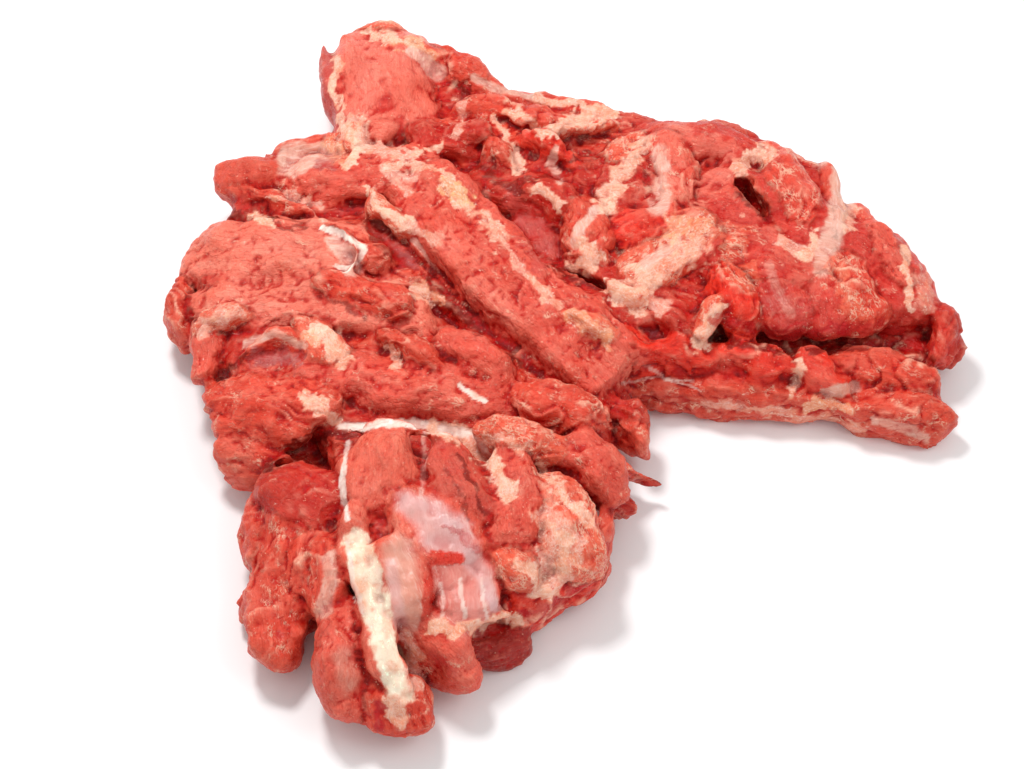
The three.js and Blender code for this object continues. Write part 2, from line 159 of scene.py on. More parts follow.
strap = [
    ["strap", "grained", [-62, 128, 46], [-18, 72, 62], [66, 2, 42], 26, 25, 16, 6.0],
    ["fat along the strap", "webbed", [-40, 122, 55], [-2, 98, 63], [24, 54, 57], 5, 6, 7, 2.4],
    ["orange fat", "webbed", [28, 42, 62], [48, 36, 63], [66, 20, 52], 6, 7, 8, 2.2],
]
rightLobe = [
    ["great lobe", "glossy", [92, 104, 38], [176, 86, 50], [264, 46, 30], 50, 28, 20, 3.4],
    ["lobe by the hole", "marbled", [154, 150, 42], [173, 128, 54], [184, 88, 52], 13, 17, 13, 2.8],
    ["pale band", "smooth", [194, 136, 38], [210, 104, 50], [198, 60, 50], 9, 9, 12, 2.4],
    ["outer lean", "grained", [206, 110, 34], [228, 84, 42], [246, 44, 36], 15, 15, 18, 2.8],
    ["streaked muscle", "marbled", [204, 84, 48], [212, 58, 50], [222, 30, 40], 15, 16, 15, 3.0],
    ["outer strip", "glossy", [232, 92, 28], [250, 70, 34], [259, 34, 30], 8, 8, 15, 2.4],
    ["end roll", "deep", [264, 48, 24], [276, 30, 32], [262, 8, 20], 8, 10, 15, 2.4],
    ["purple membrane", "glossy", [150, 82, 44], [166, 60, 47], [180, 33, 41], 22, 24, 14, 4.2],
    ["seam of the lobe", "glossy", [190, 70, 48], [195, 48, 47], [200, 28, 40], 10, 12, 16, 2.8],
    ["beside the pear", "bright", [132, 76, 50], [140, 54, 55], [146, 28, 44], 12, 13, 13, 2.6],
    ["red triangle", "glossy", [100, 68, 48], [116, 74, 53], [134, 90, 52], 9, 9, 12, 2.4],
    ["pear of fat", "webbed", [128, 52, 54], [123, 41, 61], [116, 25, 50], 6, 8, 9, 2.2],
    ["dark front", "deep", [82, 50, 46], [98, 42, 50], [116, 28, 42], 9, 10, 12, 2.4],
    ["step in front", "bright", [56, 26, 40], [90, 14, 36], [132, 8, 24], 16, 11, 20, 2.8],
    ["bright lumps", "bright", [118, 16, 28], [150, 12, 38], [188, 8, 32], 11, 13, 14, 2.4],
    ["red block", "bright", [178, 15, 30], [192, 9, 39], [210, -3, 28], 11, 12, 14, 2.6],
    ["under the edge", "lean", [196, 12, 24], [236, 8, 28], [268, -4, 20], 13, 12, 15, 2.8],
    ["tail", "lean", [56, -4, 16], [150, -8, 18], [272, -14, 16], 7, 14, 16, 2.8],
    ["end of the tail", "lean", [196, -14, 16], [240, -24, 18], [278, -22, 16], 10, 14, 17, 2.6],
]
leftSide = [
    ["outer edge", "lean", [-200, 66, 24], [-214, 42, 28], [-202, 20, 22], 8, 8, 16, 2.4],
    ["second slab", "pale", [-206, 44, 26], [-140, 50, 44], [-46, 36, 44], 17, 22, 18, 3.0],
    ["pale fat", "webbed", [-200, 24, 44], [-192, 42, 53], [-162, 46, 52], 7, 8, 8, 2.4],
    ["folded end", "grained", [-194, 36, 38], [-188, 20, 42], [-192, -4, 28], 10, 11, 17, 2.6],
    ["arch", "lean", [-170, 14, 50], [-150, 40, 60], [-124, 22, 54], 4, 5, 7, 2.2],
    ["fat patch", "webbed", [-130, 42, 50], [-118, 26, 55], [-106, 6, 50], 11, 13, 9, 2.8],
    ["third slab", "grained", [-172, 0, 38], [-104, 6, 46], [4, -14, 44], 17, 20, 16, 3.0],
    ["crinkled flap", "lean", [-189, -8, 32], [-158, -14, 46], [-104, -12, 48], 15, 20, 15, 2.8],
    ["crinkle under it", "lean", [-186, -24, 30], [-162, -30, 44], [-122, -31, 46], 11, 11, 13, 2.4],
    ["lowest crinkle", "lean", [-180, -44, 22], [-166, -50, 32], [-146, -50, 30], 11, 12, 16, 2.4],
    ["torn lobes", "lean", [-84, 30, 54], [-66, 24, 61], [-44, 6, 55], 8, 10, 9, 2.4],
    ["lip of the strap", "grained", [-46, 30, 50], [-24, 16, 57], [4, -4, 48], 11, 12, 12, 2.6],
]
jointEnd = [
    ["first head", "bulging", [-80, -28, 54], [-80, -54, 61], [-84, -84, 54], 22, 26, 16, 2.2],
    ["lobe below it", "bulging", [-96, -74, 55], [-94, -88, 58], [-90, -99, 54], 9, 11, 12, 2.2],
    ["second head", "velvet", [-44, -36, 56], [-34, -60, 63], [-16, -98, 55], 14, 19, 14, 2.2],
    ["white membrane", "lean", [-106, -27, 56], [-46, -22, 66], [-8, -58, 60], 3, 5, 6, 2.2],
    ["webbed muscle", "webbed", [-24, -30, 54], [4, -32, 60], [40, -45, 50], 11, 12, 12, 2.6],
    ["holed lumps", "lean", [4, -8, 48], [30, -14, 55], [58, -22, 44], 12, 12, 12, 2.6],
    ["dark lump", "deep", [48, -8, 34], [66, -18, 34], [84, -26, 22], 10, 9, 15, 2.4],
    ["big lump", "grained", [30, -34, 46], [50, -54, 48], [66, -74, 28], 17, 16, 18, 2.8],
    ["edge lumps", "lean", [64, -26, 28], [85, -34, 24], [80, -48, 18], 8, 8, 15, 2.4],
    ["spike", "lean", [58, -52, 26], [76, -57, 20], [91, -66, 10], 9, 3, 11, 2.2],
    ["low lump", "deep", [54, -70, 20], [66, -77, 18], [73, -84, 10], 8, 5, 12, 2.2],
    ["lean column", "grained", [-2, -42, 54], [0, -80, 59], [2, -112, 50], 15, 17, 14, 2.8],
    ["fat field", "webbed", [23, -60, 50], [38, -94, 52], [42, -124, 34], 15, 18, 17, 2.8],
    ["right rim", "lean", [60, -76, 24], [55, -102, 28], [40, -128, 20], 7, 9, 16, 2.4],
    ["fat lump", "webbed", [-7, -106, 54], [6, -114, 60], [13, -131, 46], 10, 11, 11, 2.2],
    ["crimson edge", "bright", [-6, -142, 26], [24, -140, 28], [50, -110, 22], 12, 12, 18, 2.6],
    ["pearl", "smooth", [-54, -66, 54], [-48, -96, 62], [-36, -130, 50], 28, 24, 16, 2.8],
    ["window", "smooth", [-30, -112, 46], [-28, -130, 46], [-26, -149, 38], 22, 23, 16, 3.4],
    ["pale rim", "webbed", [-54, -151, 42], [-26, -153, 46], [4, -144, 40], 4, 4, 7, 2.2],
    # painted shade on the low front underside, which faces away from the lamps
    ["dark underside", "dark", [-36, -164, 14], [-8, -172, 17], [13, -158, 12], 11, 11, 15, 2.4],
    ["knob", "smooth", [-82, -98, 58], [-70, -122, 66], [-60, -150, 52], 15, 14, 13, 2.8],
    ["tendon", "bulging", [-100, -94, 57], [-88, -140, 63], [-68, -198, 36], 10, 11, 8, 3.4],
    ["shin dome", "grained", [-104, -136, 38], [-108, -178, 36], [-104, -213, 14], 16, 17, 20, 2.8],
    ["right lobe", "grained", [-64, -146, 42], [-42, -164, 36], [-26, -189, 12], 18, 13, 18, 2.8],
    ["tip", "lean", [-76, -184, 32], [-70, -202, 26], [-66, -217, 10], 20, 18, 16, 2.6],
    ["sinew lump", "lean", [-113, -96, 44], [-114, -124, 48], [-115, -150, 34], 11, 11, 16, 2.6],
    ["beside the shin", "lean", [-122, -86, 36], [-120, -116, 38], [-122, -146, 28], 12, 10, 15, 2.8],
]
hangingFlap = [
    ["striated flap", "deep", [-158, -60, 34], [-130, -68, 42], [-110, -92, 42], 20, 24, 18, 2.8],
    ["flap lumps", "lean", [-156, -66, 24], [-160, -94, 30], [-154, -120, 24], 11, 12, 15, 2.4],
    ["inner lumps", "lean", [-132, -92, 34], [-132, -112, 38], [-133, -138, 30], 11, 11, 14, 2.4],
    ["inside the flap", "lean", [-138, -80, 38], [-146, -100, 37], [-146, -122, 30], 14, 14, 14, 2.8],
    ["flap block", "lean", [-150, -112, 24], [-144, -146, 30], [-144, -180, 10], 18, 18, 17, 2.8],
    ["side tooth", "lean", [-160, -128, 18], [-166, -138, 16], [-161, -146, 14], 7, 6, 12, 2.2],
]
# cut out afterwards, in the same way but without a finish
pockets = [
    ["hole in the right lobe", [140, 131, 64], [150, 118, 52], [167, 96, 64], 6, 4, 22, 2.2],
    ["gap under the right lobe", [134, 26, 40], [200, 23, 38], [272, 22, 32], 2, 2, 10, 2.4],
    ["gap beside the strap", [-60, 72, 62], [-42, 50, 54], [-12, 28, 60], 5, 7, 22, 2.2],
    ["triangle under the strap", [-2, 28, 58], [4, 14, 48], [34, 2, 54], 3, 3, 18, 2.2],
    ["gap under the left flap", [-154, -56, 44], [-130, -44, 46], [-92, -30, 58], 4, 4, 16, 2.2],
    ["gap in the valley", [24, 74, 60], [42, 68, 50], [62, 58, 58], 4, 5, 18, 2.2],
    ["gap under the ridge", [-186, 108, 48], [-168, 104, 44], [-128, 99, 56], 4, 3, 14, 2.2],
]


# noise: in each call below, salt is that pattern's own seed, a whole number

draws = 4096  # how many slopes and places are drawn, a power of two
draw = np.random.default_rng(11)
slopes = draw.normal(size=(draws, 3))
slopes /= np.linalg.norm(slopes, axis=1)[:, None]
scatter = draw.random((draws, 3))


def cellNumber(cells, salt):
    # a fixed number below draws for each cell of the lattice, mixed from its place by three large primes
    mixed = (cells[:, 0] * 73856093) ^ (cells[:, 1] * 19349663) ^ (cells[:, 2] * 83492791) ^ (salt * 50331653)
    return (mixed ^ (mixed >> 15)) & (draws - 1)


def waves(points, size, salt=0):
    # gradient noise: at each of the 8 corners of a cell the slope drawn for it times the way from it,
    # faded into the others by 6t^5 - 15t^4 + 10t^3. Runs from about -1 to 1.
    at = points / size
    cell = np.floor(at).astype(np.int64)
    part = at - cell
    fade = part * part * part * (part * (part * 6 - 15) + 10)
    total = np.zeros(len(points))
    for corner in np.ndindex(2, 2, 2):
        step = np.array(corner)
        slope = slopes[cellNumber(cell + step, salt)]
        weight = np.prod(np.where(step, fade, 1 - fade), axis=1)
        total += weight * np.einsum("ij,ij->i", slope, part - step)
    return total * 1.7


def layered(points, size, octaves, salt=0, shrink=0.55):
    # waves added over themselves, each half as long and lower than the one before
    total = np.zeros(len(points))
    height = 1.0
    for octave in range(octaves):
        total += height * waves(points, size, salt + 7 * octave)
        height *= shrink
        size = size / 2
    return total


def pebbles(points, size, salt=0):
    # how far it is to the nearest of the seeds that lie one in each cell of a lattice
    at = points / size
    cell = np.floor(at).astype(np.int64)
    nearest = np.full(len(points), 9.0)
    for corner in np.ndindex(3, 3, 3):
        other = cell + np.array(corner) - 1
        away = np.linalg.norm(other + scatter[cellNumber(other, salt)] - at, axis=1)
        nearest = np.minimum(nearest, away)
    return nearest


def threeWaves(points, size, salt):
    # one noise for each axis, to move points by
    return np.stack([waves(points, size, salt + axis) for axis in range(3)], axis=1)


def ramp(value, low, high):
    # 0 below low, 1 above high, an even S between
    part = np.clip((value - low) / (high - low), 0, 1)
    return part * part * (3 - 2 * part)


# shapes

def seen(places):
    # the point at this height on the sight line through a point of the picture plane
    across, up, height = np.moveaxis(np.asarray(places, float), -1, 0)
    along = (eye["distance"] * rise - height) / (eye["distance"] * rise - up * run)
    return np.stack([eye["centre"][0] + along * across,
                     eye["centre"][1] - eye["distance"] * run + along * (up * rise + eye["distance"] * run),
                     height], axis=-1)


def onPicture(points):
    # the reverse: where the sight line to a point crosses the picture plane, across and up
    away = points - eyeAt
    scale = eye["distance"] / (away @ sight)
    return np.stack([away[:, 0] * scale, (away[:, 1] * rise + away[:, 2] * run) * scale], axis=1)


def unevenness(points):
    # a sum of slanted sine waves, each shorter and lower than the one before
    total = np.zeros(points.shape[:-1])
    height, turns = shapes["cragHeight"], 2 * math.pi / shapes["cragWave"]
    for wave in range(shapes["cragWaves"]):
        heading = 1 + 2.4 * wave
        way = np.array([math.cos(heading), math.sin(heading), 0.6 * math.cos(3 * heading)])
        total += height * np.sin(turns * points @ way + 5 * heading)
        height *= shapes["cragShrink"]
        turns /= shapes["cragShrink"]
    return total


def rounded(turn, square):
    # a circle pushed out to |x|^n + |y|^n = 1: 2 is round, 4 nearly square
    across, up = np.cos(turn), np.sin(turn)
    push = (np.abs(across) ** square + np.abs(up) ** square) ** (-1 / square)
    return across * push, up * push


def unit(vectors):
    # each vector over its own length
    return vectors / np.linalg.norm(vectors, axis=-1, keepdims=True)


def muscle(start, by, end, widthAtStart, widthAtEnd, depth, square):
    # a ball drawn out along a curve of three points: its poles are the curve's ends, each ring a rounded
    # rectangle across the curve. The grid runs along the curve by round the ring, and then the two poles.
    a, b, c = seen([start, by, end])
    length = np.linalg.norm(b - a) + np.linalg.norm(c - b)
    rows = int(max(length / shapes["loftStep"], 10))
    sides = int(max(np.pi * (0.5 * (widthAtStart + widthAtEnd) + depth) / shapes["loftStep"], 14))
    swell, reach = rounded(np.linspace(-np.pi / 2, np.pi / 2, rows + 2)[1:-1], square)
    wide, high = rounded(np.linspace(0, 2 * np.pi, sides, endpoint=False), square)
    share = (0.5 + 0.5 * reach)[:, None]
    centre = (1 - share) ** 2 * a + 2 * share * (1 - share) * b + share ** 2 * c
    ahead = unit((1 - share) * (b - a) + share * (c - b))
    side = unit(np.stack([ahead[:, 1], -ahead[:, 0], 0 * ahead[:, 0]], axis=1))
    top = np.cross(side, ahead)
    widthSeen = widthAtStart + (widthAtEnd - widthAtStart) * share
    fromDepth = depth * run * np.abs(side[:, 1:2])
    leanest = (shapes["leastWidth"] * widthSeen) ** 2
    width = np.sqrt(np.maximum(widthSeen ** 2 - fromDepth ** 2, leanest))
    width = width / np.hypot(side[:, :1], side[:, 1:2] * rise)
    outward = ((side * width * swell[:, None])[:, None] * wide[None, :, None]
               + (top * depth * swell[:, None])[:, None] * high[None, :, None])
    grid = centre[:, None] + outward
    grid = grid + unit(outward) * (swell[:, None] * unevenness(grid))[..., None]
    points = np.concatenate([grid.reshape(-1, 3), [a, c]])
    points[:, 2] = np.maximum(points[:, 2], 0)
    return points, ringFaces(rows, sides), unit(c - a)


def ringFaces(rows, sides):
    # quads between neighbouring rings of a grid, and a fan of triangles from each pole, all facing out
    row, turn = np.meshgrid(np.arange(rows - 1), np.arange(sides), indexing="ij")
    here, beside = row * sides + turn, row * sides + (turn + 1) % sides
    quads = np.stack([here, here + sides, beside + sides, beside], axis=-1).reshape(-1, 4)
    turn = np.arange(sides)
    after = (turn + 1) % sides
    pole, lastRing = rows * sides, (rows - 1) * sides
    first = np.stack([np.full(sides, pole), turn, after], axis=1)
    last = np.stack([np.full(sides, pole + 1), lastRing + after, lastRing + turn], axis=1)
    return quads, np.concatenate([first, last])


def slab(height, outline):
    # an outline carried up from the table, drawn in towards its top and bottom by a quarter ellipse
    corners = seen([[across, up, height / 2] for across, up in outline])[:, :2]
    closed = np.concatenate([corners, corners[:1]])
    along = np.concatenate([[0], np.cumsum(np.linalg.norm(np.diff(closed, axis=0), axis=1))])
    sides = int(along[-1] / shapes["slabStep"])
    at = np.linspace(0, along[-1], sides, endpoint=False)
    line = np.stack([np.interp(at, along, closed[:, axis]) for axis in (0, 1)], axis=1)
    for _ in range(shapes["slabEvening"]):
        line = 0.5 * line + 0.25 * (np.roll(line, 1, axis=0) + np.roll(line, -1, axis=0))
    ahead = np.roll(line, -1, axis=0) - np.roll(line, 1, axis=0)
    outward = unit(np.stack([ahead[:, 1], -ahead[:, 0]], axis=1))
    if np.sum(line[:, 0] * np.roll(line[:, 1], -1) - line[:, 1] * np.roll(line[:, 0], -1)) < 0:
        line, outward = line[::-1], -outward[::-1]
    edge = shapes["slabShare"] * height
    bend = np.linspace(0, np.pi / 2, 5)
    heights = np.concatenate([edge * (1 - np.sin(bend[::-1])), height - edge * (1 - np.sin(bend))])
    inward = shapes["slabInward"] * np.concatenate([1 - np.cos(bend[::-1]), 1 - np.cos(bend)])
    rings = np.stack([np.concatenate([line - outward * inset, np.full((sides, 1), level)], axis=1)
                      for inset, level in zip(inward, heights)])
    row, turn = np.meshgrid(np.arange(len(heights) - 1), np.arange(sides), indexing="ij")
    here, beside = row * sides + turn, row * sides + (turn + 1) % sides
    quads = np.stack([here, beside, beside + sides, here + sides], axis=-1).reshape(-1, 4)
    lids = [np.arange(sides)[::-1], np.arange(sides) + (len(heights) - 1) * sides]
    return rings.reshape(-1, 3), quads, lids


def makeMesh(name, points, faceGroups):
    # points in millimetres, and groups of faces, each an array with one row of corners a face
    mesh = bpy.data.meshes.new(name)
    mesh.vertices.add(len(points))
    mesh.vertices.foreach_set("co", (points * mm).astype(np.float32).ravel())
    corners = np.concatenate([group.ravel() for group in faceGroups]).astype(np.int32)
    counts = np.concatenate([np.full(len(group), group.shape[1]) for group in faceGroups])
    mesh.loops.add(len(corners))
    mesh.loops.foreach_set("vertex_index", corners)
    mesh.polygons.add(len(counts))
    mesh.polygons.foreach_set("loop_start", np.concatenate([[0], np.cumsum(counts)[:-1]]).astype(np.int32))
    mesh.update(calc_edges=True)
    return mesh


def remeshed(name, solids, voxel):
    # every solid in one mesh, each vertex marked with its solid's number, grown together by voxels
    points = np.concatenate([solid[0] for solid in solids])
    starts = np.cumsum([0] + [len(solid[0]) for solid in solids])
    groups = [np.asarray(group).reshape(-1, np.shape(group)[-1]) + start
              for solid, start in zip(solids, starts) for group in solid[1]]
    mesh = makeMesh(name, points, groups)
    number = np.repeat(np.arange(len(solids)), np.diff(starts)).astype(np.int32)
    mesh.attributes.new("solid", "INT", "POINT").data.foreach_set("value", number)
    thing = bpy.data.objects.new(name, mesh)
    bpy.context.scene.collection.objects.link(thing)
    growTogether(thing, voxel)
    return thing


def growTogether(thing, voxel):
    # Blender's voxel remesh, which keeps the number of the solid that each vertex came from
    bpy.context.view_layer.objects.active = thing
    thing.data.remesh_voxel_size = voxel * mm
    thing.data.use_remesh_preserve_attributes = True
    thing.data.use_remesh_fix_poles = False
    bpy.ops.object.voxel_remesh()


def carve(thing, cutter):
    # the boolean difference, applied
    cut = thing.modifiers.new("pockets", "BOOLEAN")
    cut.operation, cut.solver, cut.object = "DIFFERENCE", "MANIFOLD", cutter
    made = bpy.data.meshes.new_from_object(thing.evaluated_get(bpy.context.evaluated_depsgraph_get()))
    thing.modifiers.clear()
    thing.data = made
    bpy.data.objects.remove(cutter)


def readMesh(mesh):
    # a remeshed skin as arrays: places in millimetres, quads, and the number of each vertex's solid
    count = len(mesh.vertices)
    points = np.empty(count * 3, np.float32)
    mesh.vertices.foreach_get("co", points)
    solid = np.empty(count, np.int32)
    mesh.attributes["solid"].data.foreach_get("value", solid)
    corners = np.empty(len(mesh.loops), np.int32)
    mesh.loops.foreach_get("vertex_index", corners)
    return points.reshape(-1, 3).astype(float) / mm, corners.reshape(-1, 4), solid


def relax(values, ties, times, strength=0.5):
    # each value moved towards the mean of its neighbours
    count = len(values)
    degree = np.bincount(ties.ravel(), minlength=count)[:, None]
    flat = values.reshape(count, -1)
    for _ in range(times):
        total = np.stack([np.bincount(ties[:, 0], flat[ties[:, 1], axis], count)
                          + np.bincount(ties[:, 1], flat[ties[:, 0], axis], count)
                          for axis in range(flat.shape[1])], axis=1)
        flat = flat + strength * (total / degree - flat)
    return flat.reshape(values.shape)


def tiesOf(quads):
    # each pair of neighbouring vertices once
    pairs = np.stack([quads, np.roll(quads, -1, axis=1)], axis=-1).reshape(-1, 2)
    low, high = pairs.min(axis=1).astype(np.int64), pairs.max(axis=1)
    both = np.unique(low * (quads.max() + 1) + high)
    return np.stack([both // (quads.max() + 1), both % (quads.max() + 1)], axis=1)


def normalsOf(points, quads):
    # each quad's crossed diagonals, added up at its corners
    cross = np.cross(points[quads[:, 2]] - points[quads[:, 0]], points[quads[:, 3]] - points[quads[:, 1]])
    total = np.stack([sum(np.bincount(quads[:, corner], cross[:, axis], len(points)) for corner in range(4))
                      for axis in range(3)], axis=1)
    return total / np.maximum(np.linalg.norm(total, axis=1, keepdims=True), 1e-9)


muscles = beds + earEnd + leftShoulder + upperMiddle + strap + rightLobe + leftSide + jointEnd + hangingFlap
lofts = [muscle(*row[2:]) for row in muscles]
solids = [(points, faces) for points, faces, _ in lofts]
for base in slabs.values():
    points, quads, lids = slab(base["height"], base["outline"])
    solids.append((points, [quads, lids[0][None], lids[1][None]]))
meat = remeshed("meat", solids, shapes["coarseVoxel"])
hollows = [muscle(*row[1:])[:2] for row in pockets]
carve(meat, remeshed("hollows", hollows, shapes["coarseVoxel"]))
growTogether(meat, shapes["coarseVoxel"])
points, quads, solid = readMesh(meat.data)
points = relax(points, tiesOf(quads), shapes["blend"])
bend = ramp(points[:, 2], *shapes["foot"])[:, None]
for reach, size, salt in shapes["wander"]:
    points += reach * bend * threeWaves(points, size, salt)
points[points[:, 2] < shapes["flatBelow"], 2] = 0
meat.data.vertices.foreach_set("co", (points * mm).astype(np.float32).ravel())
growTogether(meat, shapes["voxel"])
points, quads, solid = readMesh(meat.data)
ties = tiesOf(quads)
bpy.data.objects.remove(meat)
points = relax(points, ties, shapes["smooth"])
print("muscles grown together, pockets cut, vertices:", len(points))


# finishes

# What each sort of surface looks like: its colour, how high its lumps, crags and fibres stand and how deep
# its tears go in millimetres, and how much of it is fat, silverskin and fine white web, from 0 to 1.
keys = ["lumps", "crags", "fibres", "tears", "fat", "skin", "web"]
finishRows = {
    "lean": ["#cc4331", 1.7, 0.7, 0.25, 2.0, 0, 0, 0.55],
    "grained": ["#d05040", 0.8, 0.8, 0.45, 0.8, 0, 0, 0.45],
    "deep": ["#b62c20", 1.8, 0.8, 0.3, 2.2, 0, 0, 0.3],
    # dark: painted shade, a darker red for the low front underside that faces away from the lamps
    "dark": ["#9a241c", 1.2, 0.7, 0.5, 1.5, 0, 0, 0.1],
    "bright": ["#d42f1f", 1.8, 0.7, 0.2, 1.6, 0, 0, 0.15],
    "smooth": ["#cf4d3b", 0.5, 0.25, 0.2, 0.4, 0, 0.15, 0.3],
    "pale": ["#dc6e5b", 0.8, 0.4, 0.25, 0.9, 0, 0.1, 0.35],
    "cut": ["#da6756", 0.35, 0.3, 0.1, 0.2, 0, 0, 0.1],
    "purple": ["#b8443c", 0.7, 0.3, 0.3, 0.7, 0, 0.32, 0.15],
    "marbled": ["#cf3f2e", 1.0, 0.6, 0.25, 1.0, 0, 0, 0.85],
    "webbed": ["#d6533c", 1.3, 0.8, 0.2, 1.2, 0.25, 0, 0.9],
    "glossy": ["#c2392e", 0.7, 0.4, 0.3, 0.6, 0, 0.15, 0.4],
    "velvet": ["#bd4638", 0.5, 0.3, 0.3, 0.3, 0, 0.1, 0],
    "bulging": ["#d65f4c", 0.4, 0.2, 0.25, 0.2, 0, 0.1, 0.15],
}
finishes = {name: dict(zip(["colour"] + keys, row)) for name, row in finishRows.items()}
# The finishes that strokes alone lay over the others. What one leaves out stays nearly as it was below.
# Loose is how far the stroke's edge strays, and soft is how gently it fades.
sheer = {"fat": 0, "skin": 1, "lumps": 0.3, "crags": 0.1, "fibres": 0.0, "loose": 0.2, "soft": 0.6}
strokeFinishes = {
    "cream": {"colour": "#f3b698", "fat": 1, "skin": 0},
    "orange": {"colour": "#ef9c70", "fat": 0.9, "skin": 0},
    "yellow": {"colour": "#e9b984", "fat": 1, "skin": 0},
    "pinkFat": {"colour": "#e99c86", "fat": 0.8, "skin": 0.1},
    "pearl": {**sheer, "colour": "#d6a29e", "lumps": 0.2},
    "silver": {"colour": "#dda592", "fat": 0, "skin": 0.8, "lumps": 0.4, "crags": 0.15, "fibres": 0.1,
               "loose": 0.35},
    "veil": {**sheer, "colour": "#d9937f"},
    "window": {**sheer, "colour": "#d88074"},
    "tendon": {"colour": "#f3dcc0", "fat": 0.7, "skin": 0.4, "lumps": 0.3, "crags": 0.15, "fibres": 0.1,
               "loose": 0.35},
    "white": {"colour": "#f6e8da", "fat": 0.5, "skin": 0.8, "loose": 0.4},
    "violet": {"colour": "#a84a48", "fat": 0, "skin": 0.5},
    # blood: blood red, and painted shade where it lies along the low front edges and over the gap under the
    # great lobe
    "blood": {"colour": "#b3141c", "fat": 0, "skin": 0},
    "red": {"colour": "#cf3527", "fat": 0, "skin": 0, "loose": 0.5},
    "rosy": {"colour": "#dd7562", "fat": 0, "skin": 0},
    # dark: painted shade, laid along the gaps and creases between the muscles
    "dark": {"colour": "#6e0e08", "fat": 0, "skin": 0},
}


def linear(colour):
    # sRGB hex to linear light
    parts = np.array([int(colour[i:i + 2], 16) / 255 for i in (1, 3, 5)])
    return np.where(parts <= 0.04045, parts / 12.92, ((parts + 0.055) / 1.055) ** 2.4)


